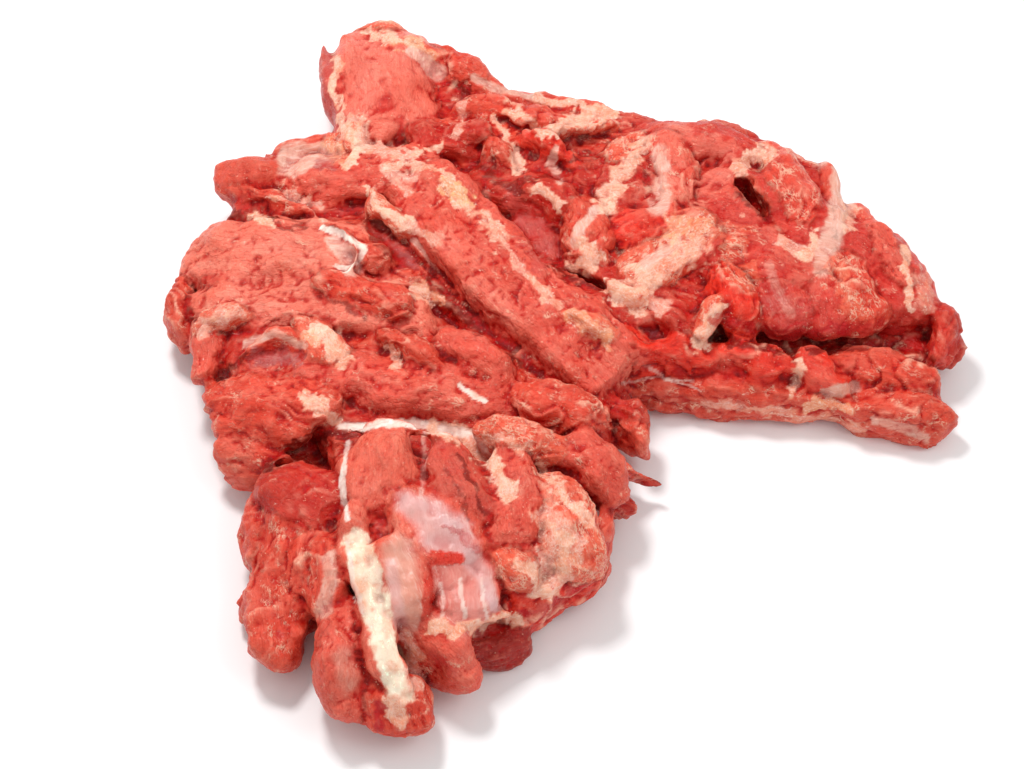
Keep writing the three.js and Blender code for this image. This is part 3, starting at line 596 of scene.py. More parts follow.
# Strokes on the picture plane: the finish, the half-width at the start and at the end, how strongly it
# covers, and its line. What faces away from the eye takes no stroke.
strokes = [
    # ear
    ["purple", 4, 3, 0.9, (-116, 198), (-115, 185), (-114, 172)],
    ["cream", 3, 2.5, 0.75, (-110, 204), (-111, 188), (-107, 176)],
    ["cream", 4, 5, 0.85, (-107, 166), (-103, 158), (-93, 152)],
    ["pinkFat", 5, 4, 0.9, (-98, 166), (-90, 150), (-75, 144), (-60, 143)],
    ["cream", 3, 3, 1.0, (-101, 158), (-97, 148), (-100, 139), (-105, 137)],
    ["orange", 4, 4, 0.8, (-74, 214), (-60, 213), (-50, 205)],
    ["cream", 4, 3, 0.8, (-88, 218), (-76, 217), (-66, 214)],
    ["silver", 3, 5, 0.8, (-64, 209), (-54, 203), (-46, 195)],
    ["silver", 5, 10, 0.9, (-112, 145), (-124, 144), (-138, 141)],
    ["orange", 4, 5, 0.5, (-111, 150), (-108, 143)],
    ["violet", 3, 3, 0.7, (-124, 138), (-113, 136)],
    ["dark", 2, 4, 0.8, (-44, 187), (-36, 186), (-30, 184)],
    ["cream", 2, 1.5, 0.9, (-60, 143), (-50, 147), (-44, 150)],
    # left shoulder
    ["pinkFat", 2.5, 2.5, 0.8, (-152, 117), (-140, 118), (-128, 113), (-118, 108)],
    ["dark", 3, 4, 0.8, (-186, 110), (-170, 104), (-158, 107)],
    ["dark", 2.5, 1.5, 0.7, (-158, 107), (-144, 101), (-130, 98)],
    ["cream", 4, 3, 0.9, (-158, 104), (-150, 101)],
    ["white", 1.8, 1.8, 1.0, (-118, 100), (-110, 95), (-100, 91), (-93, 85), (-97, 76)],
    ["silver", 4, 6, 0.9, (-113, 90), (-104, 83), (-99, 74)],
    ["white", 1.5, 1.2, 1.0, (-97, 76), (-104, 72), (-110, 74)],
    ["cream", 3, 3.5, 1.0, (-88, 121), (-85, 110), (-76, 105), (-66, 100)],
    ["pinkFat", 2, 4, 0.8, (-66, 100), (-58, 97), (-48, 92)],
    ["dark", 3, 4, 0.75, (-92, 104), (-84, 92), (-76, 82), (-64, 76)],
    ["violet", 2.5, 2.5, 0.6, (-86, 100), (-74, 88), (-60, 74)],
    # strap
    ["yellow", 4, 5, 0.75, (-42, 126), (-33, 120), (-26, 114)],
    ["cream", 3, 5, 0.62, (-34, 112), (-18, 104), (-6, 92)],
    ["pinkFat", 2, 3, 0.6, (-4, 90), (4, 76), (12, 66)],
    ["cream", 2.5, 3, 0.55, (8, 68), (18, 60), (28, 50)],
    ["orange", 4, 6, 0.7, (38, 44), (46, 38), (58, 28)],
    ["pinkFat", 3, 3, 0.7, (-66, 122), (-80, 133), (-60, 130)],
    ["cream", 2, 2, 0.7, (-78, 134), (-66, 138), (-50, 136), (-34, 128)],
    ["dark", 2.5, 4, 0.8, (-52, 68), (-38, 50), (-20, 34)],
    ["dark", 3, 2, 0.9, (-2, 24), (6, 14), (26, 4)],
    ["silver", 1.5, 1, 0.8, (-62, 90), (-52, 78), (-46, 70)],
    ["rosy", 7, 9, 0.4, (-40, 92), (-18, 66), (6, 36)],
    ["orange", 2.5, 2.5, 0.8, (-58, 62), (-50, 56), (-44, 52)],
    ["cream", 2.5, 3.5, 0.9, (-60, 60), (-52, 54)],
    # valley
    ["purple", 6, 7, 0.7, (2, 118), (8, 98), (18, 78)],
    ["dark", 2.5, 3.5, 0.8, (-24, 138), (-8, 128), (4, 122)],
    ["dark", 4, 4, 0.85, (28, 74), (42, 68), (60, 58)],
    # back rim
    ["silver", 2.5, 2.5, 0.8, (-24, 192), (-8, 184), (8, 183), (26, 177)],
    ["cream", 2.5, 3, 0.8, (14, 181), (34, 176), (58, 169)],
    ["pinkFat", 2.5, 2.5, 0.6, (-34, 178), (-30, 166), (-36, 156)],
    ["cream", 2, 3, 0.9, (-10, 166), (0, 150), (4, 134)],
    ["cream", 4, 5, 1.0, (18, 157), (32, 161), (48, 166), (62, 170)],
    ["cream", 2.5, 2, 0.9, (-4, 172), (8, 166), (20, 158)],
    ["silver", 1.8, 3, 0.9, (28, 148), (24, 138), (30, 128)],
    ["dark", 2, 3, 0.85, (36, 140), (46, 144), (54, 143)],
    ["dark", 1.5, 2, 0.7, (4, 128), (20, 130), (36, 131)],
    ["cream", 4, 3, 0.8, (14, 124), (24, 117), (30, 112)],
    # bands of fat
    ["cream", 5, 7, 0.7, (82, 150), (74, 139), (66, 128), (60, 116)],
    ["cream", 4, 3, 1.0, (60, 112), (54, 110)],
    ["silver", 3, 4, 0.9, (52, 110), (44, 100), (40, 88)],
    ["cream", 5, 6, 0.8, (44, 88), (50, 80), (46, 74)],
    ["silver", 5, 7, 0.9, (92, 146), (96, 130), (92, 112)],
    ["marbled", 8, 6, 0.6, (106, 140), (104, 124)],
    ["cream", 4, 5, 0.9, (92, 66), (84, 60), (78, 72)],
    ["cream", 8, 10, 0.6, (80, 68), (98, 78), (116, 88)],
    ["silver", 4, 3, 0.8, (84, 76), (96, 84), (104, 92)],
    ["white", 0.9, 0.9, 0.4, (70, 0), (90, 5), (112, 2)],
    ["white", 0.8, 0.8, 0.4, (82, 12), (96, 4), (118, -4)],
    ["orange", 6, 6, 0.6, (98, 94), (108, 102), (118, 100)],
    ["rosy", 9, 9, 0.9, (106, 120), (112, 112)],
    ["cream", 9, 9, 1.0, (66, 58), (78, 55)],
    ["pinkFat", 3, 5, 0.8, (88, 56), (94, 48)],
    ["cream", 4, 6, 1.0, (132, 48), (126, 42), (120, 30)],
    ["dark", 2, 2, 0.7, (86, 140), (84, 126), (88, 116)],
    # right lobe
    ["dark", 4, 4, 0.95, (143, 126), (150, 116), (160, 104)],
    ["cream", 3, 5, 0.8, (140, 134), (146, 140), (158, 146)],
    ["silver", 4, 6, 0.6, (170, 152), (182, 150), (192, 142)],
    ["pinkFat", 3, 4, 0.9, (168, 92), (176, 86), (184, 80)],
    ["cream", 3, 3, 0.9, (184, 80), (190, 88), (188, 94)],
    ["silver", 6, 8, 0.9, (206, 138), (206, 116), (200, 94), (196, 76)],
    ["cream", 5, 4, 0.6, (214, 124), (212, 112), (210, 98)],
    ["webbed", 10, 9, 0.9, (138, 92), (142, 76), (150, 64)],
    ["webbed", 7, 6, 0.9, (204, 74), (210, 56), (220, 40)],
    ["cream", 2.5, 2.5, 0.9, (246, 84), (247, 66), (250, 48)],
    ["violet", 9, 11, 0.25, (160, 62), (168, 50), (176, 42)],
    ["silver", 3, 3, 0.3, (160, 74), (166, 60), (174, 44)],
    ["pinkFat", 6, 6, 0.5, (256, 66), (260, 50)],
    ["red", 7, 7, 0.7, (268, 34), (268, 16)],
    # painted shade on the front of the great lobe, over the gap under it
    ["blood", 4, 5, 0.75, (128, 40), (150, 36), (176, 32), (206, 34)],
    ["blood", 4, 4, 0.6, (206, 34), (236, 34), (260, 24)],
    ["dark", 2.5, 2.5, 0.85, (134, 26), (170, 21), (206, 24)],
    ["dark", 2, 2.5, 0.75, (206, 24), (240, 24), (262, 16)],
    ["rosy", 12, 12, 0.5, (104, 152), (130, 140), (120, 122)],
    # tail
    ["red", 7, 8, 0.9, (128, 10), (150, 8), (172, 6)],
    ["red", 10, 10, 0.9, (186, 8), (198, 2)],
    ["cream", 2.5, 3, 0.9, (178, 15), (180, 6), (176, -2)],
    ["silver", 3, 4, 0.9, (196, -6), (206, -4), (214, -2)],
    ["orange", 3, 3, 0.9, (184, -15), (198, -12), (210, -16)],
    ["pinkFat", 2.5, 3.5, 0.7, (120, -12), (150, -15), (190, -22), (220, -30)],
    ["silver", 2.5, 3, 0.6, (226, -22), (244, -28), (258, -34)],
    # left side
    ["pinkFat", 5, 6, 0.7, (-194, 34), (-184, 42), (-172, 45)],
    ["cream", 5, 6, 0.9, (-124, 34), (-114, 28), (-108, 18)],
    ["orange", 3, 3, 0.7, (-130, 30), (-122, 26)],
    ["violet", 6, 6, 0.9, (-158, 18), (-148, 18), (-136, 17)],
    ["silver", 2.5, 2.5, 0.8, (-166, 26), (-148, 32), (-130, 24)],
    ["cream", 2.5, 3, 0.9, (-76, 22), (-72, 14)],
    ["white", 1.8, 2, 0.9, (-32, 0), (-24, -6), (-18, -10)],
    ["cream", 5, 4, 0.8, (-126, -10), (-116, -16), (-112, -22)],
    ["dark", 3, 4, 0.9, (-156, -50), (-136, -40), (-116, -32), (-100, -28)],
    ["dark", 2.5, 2.5, 0.8, (-200, 40), (-202, 52)],
    ["dark", 2, 2, 0.8, (-166, 22), (-176, 10), (-184, 2)],
    ["dark", 1.8, 1.8, 0.7, (-116, 56), (-102, 48), (-90, 42)],
    # joint end
    ["white", 2.2, 2.5, 0.9, (-108, -26), (-90, -26), (-66, -24), (-44, -26)],
    ["cream", 4.5, 5, 0.95, (-50, -28), (-34, -30), (-20, -38), (-10, -54), (-2, -68)],
    ["white", 2.5, 2.5, 0.8, (-44, -28), (-28, -31), (-18, -40)],
    ["white", 1.4, 1.8, 0.7, (-102, -36), (-107, -58), (-103, -84)],
    ["white", 1.2, 1.5, 0.35, (-55, -30), (-55, -52), (-57, -74)],
    ["dark", 1.4, 1.8, 0.8, (-34, -42), (-27, -58), (-16, -78)],
    ["dark", 1.2, 1.2, 0.6, (-41, -52), (-35, -66), (-27, -84)],
    ["pinkFat", 3, 3, 0.8, (-22, -36), (-6, -34), (6, -40)],
    ["cream", 3, 3, 0.8, (18, -52), (34, -70), (48, -86)],
    ["pinkFat", 9, 13, 0.9, (22, -84), (32, -102), (26, -120)],
    ["cream", 3, 5, 0.9, (22, -88), (36, -100), (30, -116)],
    ["cream", 4, 5, 0.8, (4, -112), (14, -120), (22, -130)],
    ["pearl", 9, 17, 1.0, (-66, -74), (-52, -82), (-40, -96)],
    ["pearl", 15, 12, 1.0, (-40, -96), (-30, -110), (-20, -122)],
    ["window", 19, 19, 0.95, (-34, -120), (-30, -132), (-28, -142)],
    ["pearl", 7, 4, 0.9, (-28, -106), (-18, -120), (-10, -140)],
    ["rosy", 8, 6, 0.7, (-74, -88), (-66, -94)],
    ["blood", 1.5, 3, 0.5, (-42, -88), (-32, -92), (-22, -102)],
    ["red", 4.5, 4.5, 1.0, (-50, -108), (-42, -108), (-34, -108)],
    ["white", 1.2, 1.2, 0.5, (-32, -122), (-30, -146)],
    ["white", 1, 1, 0.45, (-20, -120), (-16, -146)],
    ["white", 0.9, 0.9, 0.4, (-44, -124), (-44, -146)],
    ["cream", 3.5, 3, 0.95, (-54, -151), (-30, -152), (-6, -148), (4, -146)],
    ["blood", 3, 4, 0.9, (6, -144), (24, -140), (44, -126)],
    ["veil", 13, 14, 0.95, (-72, -104), (-68, -124), (-64, -144)],
    ["pearl", 4, 5, 0.5, (-76, -112), (-73, -130), (-70, -148)],
    ["red", 3, 3, 0.8, (-53, -112), (-51, -130), (-56, -152)],
    ["tendon", 9, 9, 1.0, (-97, -100), (-91, -118)],
    ["tendon", 9, 8, 1.0, (-92, -116), (-86, -140), (-79, -164), (-71, -192)],
    ["white", 1.6, 1.6, 0.9, (-103, -98), (-100, -120), (-94, -142)],
    ["pinkFat", 5, 5, 0.8, (-66, -160), (-62, -174), (-60, -186)],
    ["cream", 5, 6, 0.8, (-76, -198), (-70, -209)],
    ["blood", 4, 4, 0.9, (-84, -212), (-82, -200)],
    ["veil", 8, 8, 0.5, (-105, -170), (-103, -186)],
    ["silver", 4, 5, 0.7, (-114, -108), (-114, -126), (-118, -142)],
    ["blood", 3, 3, 0.7, (-48, -170), (-38, -180)],
]


# the edges of strokes, in millimetres: how far, over what wave and from which seed they stray, and how
# ragged and how broken up they are, with the wave of each
strokeEdge = {
    "strays": ((3.0, 14, 31), (1.8, 5, 33)),
    "ragged": (0.45, 6, 35),
    "lace": (0.55, 7, 36),
    "facing": 0.35,  # how squarely the skin faces the eye where a stroke covers it fully
}


def layStrokes(points, normals, onPlane):
    # each stroke's cover of each vertex: full inside its half-width, none a little beyond it, with its edge
    # moved about by noise
    wander = 0
    for reach, size, salt in strokeEdge["strays"]:
        wander = wander + np.stack([waves(points, size, salt), waves(points, size, salt + 1)], axis=1) * reach
    ragged, lace = (share * layered(points, size, 3, salt)
                    for share, size, salt in (strokeEdge["ragged"], strokeEdge["lace"]))
    facing = ramp(-(normals @ sight), 0.0, strokeEdge["facing"])
    for finish, widthAtStart, widthAtEnd, cover, *line in strokes:
        look = strokeFinishes.get(finish) or finishes[finish]
        line = np.array(line, float)
        reach = 2.2 * max(widthAtStart, widthAtEnd) + 6
        low, high = line.min(axis=0) - reach, line.max(axis=0) + reach
        near = np.flatnonzero(np.all((onPlane > low) & (onPlane < high), axis=1))
        if not len(near):
            continue
        loose = look.get("loose", 1)
        here = onPlane[near] + loose * wander[near]
        best = np.full(len(near), -9.0)
        for step in range(len(line) - 1):
            way = line[step + 1] - line[step]
            along = np.clip((here - line[step]) @ way / (way @ way), 0, 1)
            share = (step + along) / (len(line) - 1)
            width = (widthAtStart + (widthAtEnd - widthAtStart) * share) * (1 + loose * ragged[near])
            away = np.linalg.norm(here - line[step] - along[:, None] * way, axis=1)
            best = np.maximum(best, 1 - away / np.maximum(width, 0.2))
        amount = ramp(best + loose * lace[near], -0.25, look.get("soft", 0.2)) * cover * facing[near]
        yield near, amount, look


# the finish of each vertex, from its own muscle, evened out over the joins, and then from the strokes

# The slabs show only in the gaps between the muscles, and their deep red finish is painted shade there.
names = [row[1] for row in muscles] + ["deep"] * len(slabs)
rows = [finishes[name] for name in names]
colour = np.array([linear(row["colour"]) for row in rows])[solid]
traits = np.array([[row[key] for key in keys] for row in rows])[solid]
evened = relax(np.concatenate([colour, traits], axis=1), ties, 4)
colour, traits = evened[:, :3], evened[:, 3:]
normals = normalsOf(points, quads)
onPlane = onPicture(points)
amber = 0.75 * ramp(layered(points, 11, 3, 37), -0.1, 0.7)
amberFat = linear("#e58a66")
for near, amount, look in layStrokes(points, normals, onPlane):
    amount = amount[:, None]
    plain = linear(look["colour"])
    tint = plain + (amber[near, None] * look["fat"]) * (amberFat - plain)
    colour[near] += amount * (tint - colour[near])
    target = np.array([look.get(key, traits[near, at].mean() * 0.6) for at, key in enumerate(keys)])
    traits[near] += amount * (target - traits[near])
lumps, crags, fibres, tears, fat, skin, web = traits.T
print("finishes laid on")

# the grain of each muscle: its own length, breadth and depth, in which patterns are stretched along it
lengthwise = np.array([ahead for _, _, ahead in lofts] + [[1.0, 0, 0]] * len(slabs))
across = unit(np.cross(lengthwise, [0.05, 0.03, 1.0]))
depthwise = np.cross(across, lengthwise)
frames = np.stack([lengthwise, across, depthwise], axis=1)
grain = np.einsum("nij,nj->ni", frames[solid], points)
grain = relax(grain, ties, 1)

# relief: flaps, which rise sharply at one side and fall away gently at the other, rounded lumps with creases
# between them, crags, fibres along the grain and tears. Each pattern has its longest wave, or the distance
# from one seed to the next, and its height, both in millimetres; reach is how far it is drawn out.
pattern = {
    "flap": {"size": 44, "reach": 14, "steps": 2.4, "height": 1.5},
    "smallFlap": {"size": 22, "reach": 7, "steps": 1.6, "height": 0.3},
    "bigLump": {"size": 24, "height": 1.6},
    "lump": {"size": 12, "height": 0.55},
    "knob": {"size": 4.6, "height": 0.7},
    "swell": {"size": 26, "height": 0.5},
    "crag": {"size": 4.5, "height": 0.5},
    "fibre": {"size": 2.8, "reach": 9, "height": 1.6},
    "wrinkle": {"size": 9, "reach": 11, "height": 0.9},
    "slit": {"size": 15, "reach": 9, "height": 0.5},
    "fatBump": {"size": 6, "height": 0.6},
    "warp": {"size": 18, "height": 4.0},
    "edgeWander": {"size": 7, "height": 0.7},
    "middle": 0.55,  # the mean distance to a seed, as a share of its lattice
    "sunk": 0.8,  # how far the whole skin goes in, since most of the relief stands out
    "table": (1.0, 5.0),  # the heights between which the relief sets in
}
above = ramp(points[:, 2], *pattern["table"])
flow = unit(relax(lengthwise[solid], ties, 12) + 1e-6)
warped = points + pattern["warp"]["height"] * threeWaves(points, pattern["warp"]["size"], 41)


def streaked(look, salt, octaves=1):
    # noise averaged over a short way along the grain, so that its shapes are drawn out along it
    ways = np.linspace(-look["reach"], look["reach"], 5)
    return 1.5 * sum(layered(warped + way * flow, look["size"], octaves, salt) for way in ways) / len(ways)


def rungOf(terrace, rise):
    # how far up its step each height of a stairway is, and a flap made of it: a quick rise, a slow fall
    rung = terrace - np.floor(terrace)
    return rung, ramp(rung, 0.0, rise) - rung


terrace = pattern["flap"]["steps"] * streaked(pattern["flap"], 44, 2) + 0.25 * layered(points, 12, 2, 46)
rung, flap = rungOf(terrace, 0.12)
rungSmall, flapSmall = rungOf(pattern["smallFlap"]["steps"] * streaked(pattern["smallFlap"], 45), 0.2)
middle = pattern["middle"]
lump = pebbles(warped * [1, 1, 1.2], pattern["lump"]["size"], 51)
knob = pebbles(warped, pattern["knob"]["size"], 52)
bigLump = pebbles(warped, pattern["bigLump"]["size"], 50)
torn = 0.25 + 0.75 * ramp(layered(points, 52, 2, 68), -0.15, 0.45)
relief = lumps * (pattern["flap"]["height"] * torn * flap + pattern["smallFlap"]["height"] * flapSmall
                  + pattern["bigLump"]["height"] * (middle - bigLump)
                  + pattern["lump"]["height"] * (middle - lump) - 0.2)
relief += lumps * pattern["swell"]["height"] * layered(points, pattern["swell"]["size"], 2, 53)
relief += crags * (0.4 + 0.8 * torn) * (
    pattern["knob"]["height"] * (0.5 - knob)
    + pattern["crag"]["height"] * layered(points, pattern["crag"]["size"], 2, 54))
relief += (fibres * pattern["fibre"]["height"] * streaked(pattern["fibre"], 55)
           + lumps * pattern["wrinkle"]["height"] * (0.35 - np.abs(streaked(pattern["wrinkle"], 69))))
slit = np.abs(streaked(pattern["slit"], 57) + 0.2 * waves(points, 8, 58))
relief -= (tears * pattern["slit"]["height"] * (1 - ramp(slit, 0.0, 0.16))
           * ramp(waves(points, 34, 59), -0.1, 0.4))
relief += fat * (0.4 + pattern["fatBump"]["height"] * layered(points, pattern["fatBump"]["size"], 2, 60))
relief -= pattern["sunk"]
points = points + normals * (relief * above)[:, None]
wander = pattern["edgeWander"]
points = points + wander["height"] * above[:, None] * threeWaves(points, wander["size"], 62)
points = relax(points, ties, 1, 0.2)
onTable = points[:, 2] < shapes["underside"]
points[onTable, 2] = 0
normals = normalsOf(points, quads)
# the pale rims of the flaps, broken up and only where the lean is lumpy
rim = ramp(rung, 0.08, 0.14) * (1 - ramp(rung, 0.2, 0.42)) * ramp(waves(points, 28, 65), -0.1, 0.35)
rimSmall = ramp(rungSmall, 0.1, 0.2) * (1 - ramp(rungSmall, 0.3, 0.5)) * ramp(waves(points, 20, 66), 0.1, 0.5)
rim = np.maximum(rim, 0.7 * rimSmall) * ramp(lumps, 0.6, 1.2)
print("relief raised")

# hollows and ridges: how far the evened surface stands over the real one
# after a few rounds of evening out and after many, each up to the depth that counts as full
depths = {"rounds": (8, 60), "full": (0.5, 2.6)}
hollow = 0
for rounds, full in zip(depths["rounds"], depths["full"]):
    depth = np.einsum("ij,ij->i", relax(points, ties, rounds) - points, normals)
    hollow = hollow + np.clip(depth / full, -1, 1) * 0.5

# the tints that go on parts of the lean: blushes, painted shade in the hollows, a painted highlight on the
# ridges, and fat-pale rims
tints = {"blush": "#de7460", "hollowShade": "#b00a04", "deepHollowShade": "#700300", "ridge": "#e4745e", "rim": "#efb096"}


def tinted(share, name):
    # the colour, moved by this share of the way to a tint
    return colour + share[:, None] * (linear(tints[name]) - colour)


# uneven tone and warmth, blushes, painted shade in the hollows, painted light on the ridges, and pale rims
tone = 1 + 0.10 * layered(points, 30, 3, 71) + 0.08 * layered(grain / [3, 1, 1], 4, 2, 72)
warmth = layered(points, 22, 2, 73)
colour = colour * tone[:, None]
colour[:, 1] *= 1 + 0.16 * warmth
colour[:, 2] *= 1 + 0.22 * warmth
covered = np.clip(fat + skin, 0, 1)
bare = 1 - covered
colour = tinted(ramp(layered(points, 34, 3, 74), 0.15, 0.8) * bare * 0.35, "blush")
# painted shade: the hollows darkened to a deep red, and the deepest nearly to black
colour = tinted(ramp(hollow, 0.02, 0.5) * (0.9 - 0.6 * covered), "hollowShade")
colour = tinted(ramp(hollow, 0.5, 0.95) * (0.9 - 0.5 * covered), "deepHollowShade")
# painted light: the ridges made paler
colour = tinted(ramp(-hollow, 0.2, 0.9) * 0.28, "ridge")
colour = tinted(rim * ramp(layered(points, 7, 2, 67), -0.5, 0.3) * torn * 0.8, "rim")
colour *= 1 + bare[:, None] * [0.03, -0.05, -0.07]
colour = np.clip(colour, 0.004, 0.95)
print("coloured")

# the pieces: slices of the one skin between upright planes across x, which close them inside the meat.
# High is beyond the meat on every side, and near is how close to a plane a new corner lies.
slices = {"edges": [-360, -140, -88, -34, 30, 118, 360], "high": 500, "near": 0.01,
          "names": ["neckLeftEdge", "neckLeftFlaps", "neckEarAndShin", "neckStrapAndJoint", "neckFatBands",
                    "neckRightLobe"]}
# what the skin is at each vertex: colour, fat, silverskin, web, grain and outward direction
everything = np.column_stack([colour, fat, skin, web, grain, normals])


def atCut(plane):
    # where the edges of the skin and the diagonals of its faces cross an upright plane, and what it is there:
    # the two ends shared out by their distance from the plane
    pairs = np.concatenate([ties, quads[:, [0, 2]], quads[:, [1, 3]]])
    side = points[:, 0] - plane
    pairs = pairs[side[pairs[:, 0]] * side[pairs[:, 1]] < 0]
    start, end = pairs.T
    share = (side[start] / (side[start] - side[end]))[:, None]
    return (points[start] + share * (points[end] - points[start]),
            everything[start] + share * (everything[end] - everything[start]))


def blocks(left, right):
    # two closed boxes, over everything left of a slice and everything right of it
    corners = np.array(list(np.ndindex(2, 2, 2)), float)
    sides = np.array([[0, 1, 3, 2], [4, 6, 7, 5], [0, 4, 5, 1], [2, 3, 7, 6], [0, 2, 6, 4], [1, 5, 7, 3]])
    high = slices["high"]
    ends = ((-high, left), (right, high))
    places = np.concatenate([corners * [end - start, 2 * high, 2 * high] + [start, -high, -high]
                             for start, end in ends])
    thing = bpy.data.objects.new("blocks", makeMesh("blocks", places, [np.concatenate([sides, sides + 8])]))
    bpy.context.scene.collection.objects.link(thing)
    return thing


def makePiece(name, mesh, left, right, material):
    # a copy of the skin less what lies beyond its two planes. A vertex keeps its own values, and one that
    # the cut made takes those of the nearest crossing.
    piece = bpy.data.objects.new(name, mesh.copy())
    bpy.context.scene.collection.objects.link(piece)
    carve(piece, blocks(left, right))
    cut = piece.data
    cut.name = name
    place = np.empty(len(cut.vertices) * 3, np.float32)
    cut.vertices.foreach_get("co", place)
    place = place.reshape(-1, 3) / mm
    number = np.empty(len(cut.vertices), np.int32)
    cut.attributes["number"].data.foreach_get("value", number)
    cut.attributes.remove(cut.attributes["number"])
    values = everything[number]
    for plane in (left, right):
        onCut = np.flatnonzero(np.abs(place[:, 0] - plane) < slices["near"])
        crossings, there = atCut(plane)
        if len(onCut):
            gaps = ((place[onCut][:, None, 1:] - crossings[None, :, 1:]) ** 2).sum(axis=2)
            values[onCut] = there[gaps.argmin(axis=1)]
    cut.attributes.new("meatColour", "FLOAT_COLOR", "POINT").data.foreach_set(
        "color", np.column_stack([values[:, :3], np.ones(len(values))]).astype(np.float32).ravel())
    for key, at in (("fat", 3), ("skin", 4), ("web", 5)):
        cut.attributes.new(key, "FLOAT", "POINT").data.foreach_set("value", values[:, at].astype(np.float32))
    cut.attributes.new("grain", "FLOAT_VECTOR", "POINT").data.foreach_set(
        "vector", values[:, 6:9].astype(np.float32).ravel())
    cut.polygons.foreach_set("use_smooth", np.ones(len(cut.polygons), bool))
    cut.normals_split_custom_set_from_vertices(unit(values[:, 9:]).tolist())
    cut.materials.clear()
    cut.materials.append(material)
    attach(piece, "root")
    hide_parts("beef_neck")
    print(name, "triangles:", len(cut.loops) - 2 * len(cut.polygons))


# material

# the sorts of node in use: Blender's name, settings, the inputs that are given in turn, and the output
sorts = {
    "colourOf": ["ShaderNodeAttribute", {}, [], "Color"],
    "valueOf": ["ShaderNodeAttribute", {}, [], "Fac"],
    "vectorOf": ["ShaderNodeAttribute", {}, [], "Vector"],
    "place": ["ShaderNodeTexCoord", {}, [], "Object"],
    "stretch": ["ShaderNodeMapping", {"vector_type": "POINT"}, ["Vector", "Scale"], 0],
    "scaleVector": ["ShaderNodeVectorMath", {"operation": "SCALE"}, [0, "Scale"], 0],
    "addVector": ["ShaderNodeVectorMath", {"operation": "ADD"}, [0, 1], 0],
    "add": ["ShaderNodeMath", {"operation": "ADD"}, [0, 1], 0],
    "addUpToOne": ["ShaderNodeMath", {"operation": "ADD", "use_clamp": True}, [0, 1], 0],
    "subtract": ["ShaderNodeMath", {"operation": "SUBTRACT"}, [0, 1], 0],
    "multiply": ["ShaderNodeMath", {"operation": "MULTIPLY"}, [0, 1], 0],
    "maximum": ["ShaderNodeMath", {"operation": "MAXIMUM"}, [0, 1], 0],
    "absolute": ["ShaderNodeMath", {"operation": "ABSOLUTE"}, [0], 0],
    "ramp": ["ShaderNodeMapRange", {"interpolation_type": "SMOOTHSTEP"}, [0, 1, 2], 0],
    "mix": ["ShaderNodeMix", {"data_type": "RGBA"}, [0, 6, 7], 2],
    "tint": ["ShaderNodeMix", {"data_type": "RGBA", "blend_type": "MULTIPLY"}, [0, 6, 7], 2],
    "noise": ["ShaderNodeTexNoise", {}, ["Vector", "Scale", "Detail", "Roughness", "Distortion"], "Fac"],
    "noiseColour": ["ShaderNodeTexNoise", {}, ["Vector", "Scale", "Detail"], "Color"],
    "cellEdge": ["ShaderNodeTexVoronoi", {"feature": "DISTANCE_TO_EDGE"}, ["Vector", "Scale"], "Distance"],
    "cellColour": ["ShaderNodeTexVoronoi", {}, ["Vector", "Scale"], "Color"],
    "bump": ["ShaderNodeBump", {}, ["Height", "Strength", "Distance"], 0],
    "shader": ["ShaderNodeBsdfPrincipled", {},
               ["Base Color", "Roughness", "Normal", "IOR", "Specular IOR Level", "Coat Weight",
                "Coat Roughness", "Coat Normal"], 0],
    "out": ["ShaderNodeOutputMaterial", {}, ["Surface"], None],
}


def addNode(tree, sort, *values, **settings):
    # one node: its settings, and for each input in turn a value or another node's output
    kind, fixed, slots, output = sorts[sort]
    node = tree.nodes.new(kind)
    for key, value in {**fixed, **settings}.items():
        setattr(node, key, value)
    for slot, value in zip(slots, values):
        if isinstance(value, bpy.types.NodeSocket):
            tree.links.new(value, node.inputs[slot])
        else:
            node.inputs[slot].default_value = value
    return None if output is None else node.outputs[output]


# sizes in millimetres; what is drawn out along the grain has the share that is left of its lengthwise scale
freshBeef = {
    "roughness": 0.33,  # of the lean
    "fatRoughness": 0.42,
    "skinRoughness": 0.2,
    "coat": 0.26,  # the wet film
    "coatRoughness": 0.05,
    "ior": 1.4,
    "specular": 0.1,
    "bump": 0.75,
    "bumpHeight": 1.0,
    "fibre": 0.9,  # width of the fibres
    "fibreDrawn": 1 / 8,
    "web": 5.0,  # mesh width of the white web, twice that and less than half of it
    "webDrawn": 0.4,
    "webLevels": ((2, 0.02), (1, 0.035), (1 / 2.2, 0.045)),  # share of the mesh width, width of the line
    "bundle": 3.6,  # width of a bundle of fibres
    "bundleDrawn": 0.35,
    "speck": 1.6,
    "patch": 9,
    "finePatch": 6,
    "winding": 4,
    "rag": 2.6,  # the ragged edge of the fat
    "lobule": 3.4,  # of the fat
    "skinStreak": 0.55,  # streaks a millimetre across the grain
    "skinDrawn": 1 / 14,
    "palest": "#eca88e",  # specks on the lean
    "webColour": "#f0bda0",
    "fatRag": "#e28064",
    "fatSeam": "#d2604a",
    "fatSpeck": "#f8d2ba",
    "fatThread": "#fae6d8",
    "skinLight": "#f2d4c8",
    "fleshThrough": "#c05a4c",
}


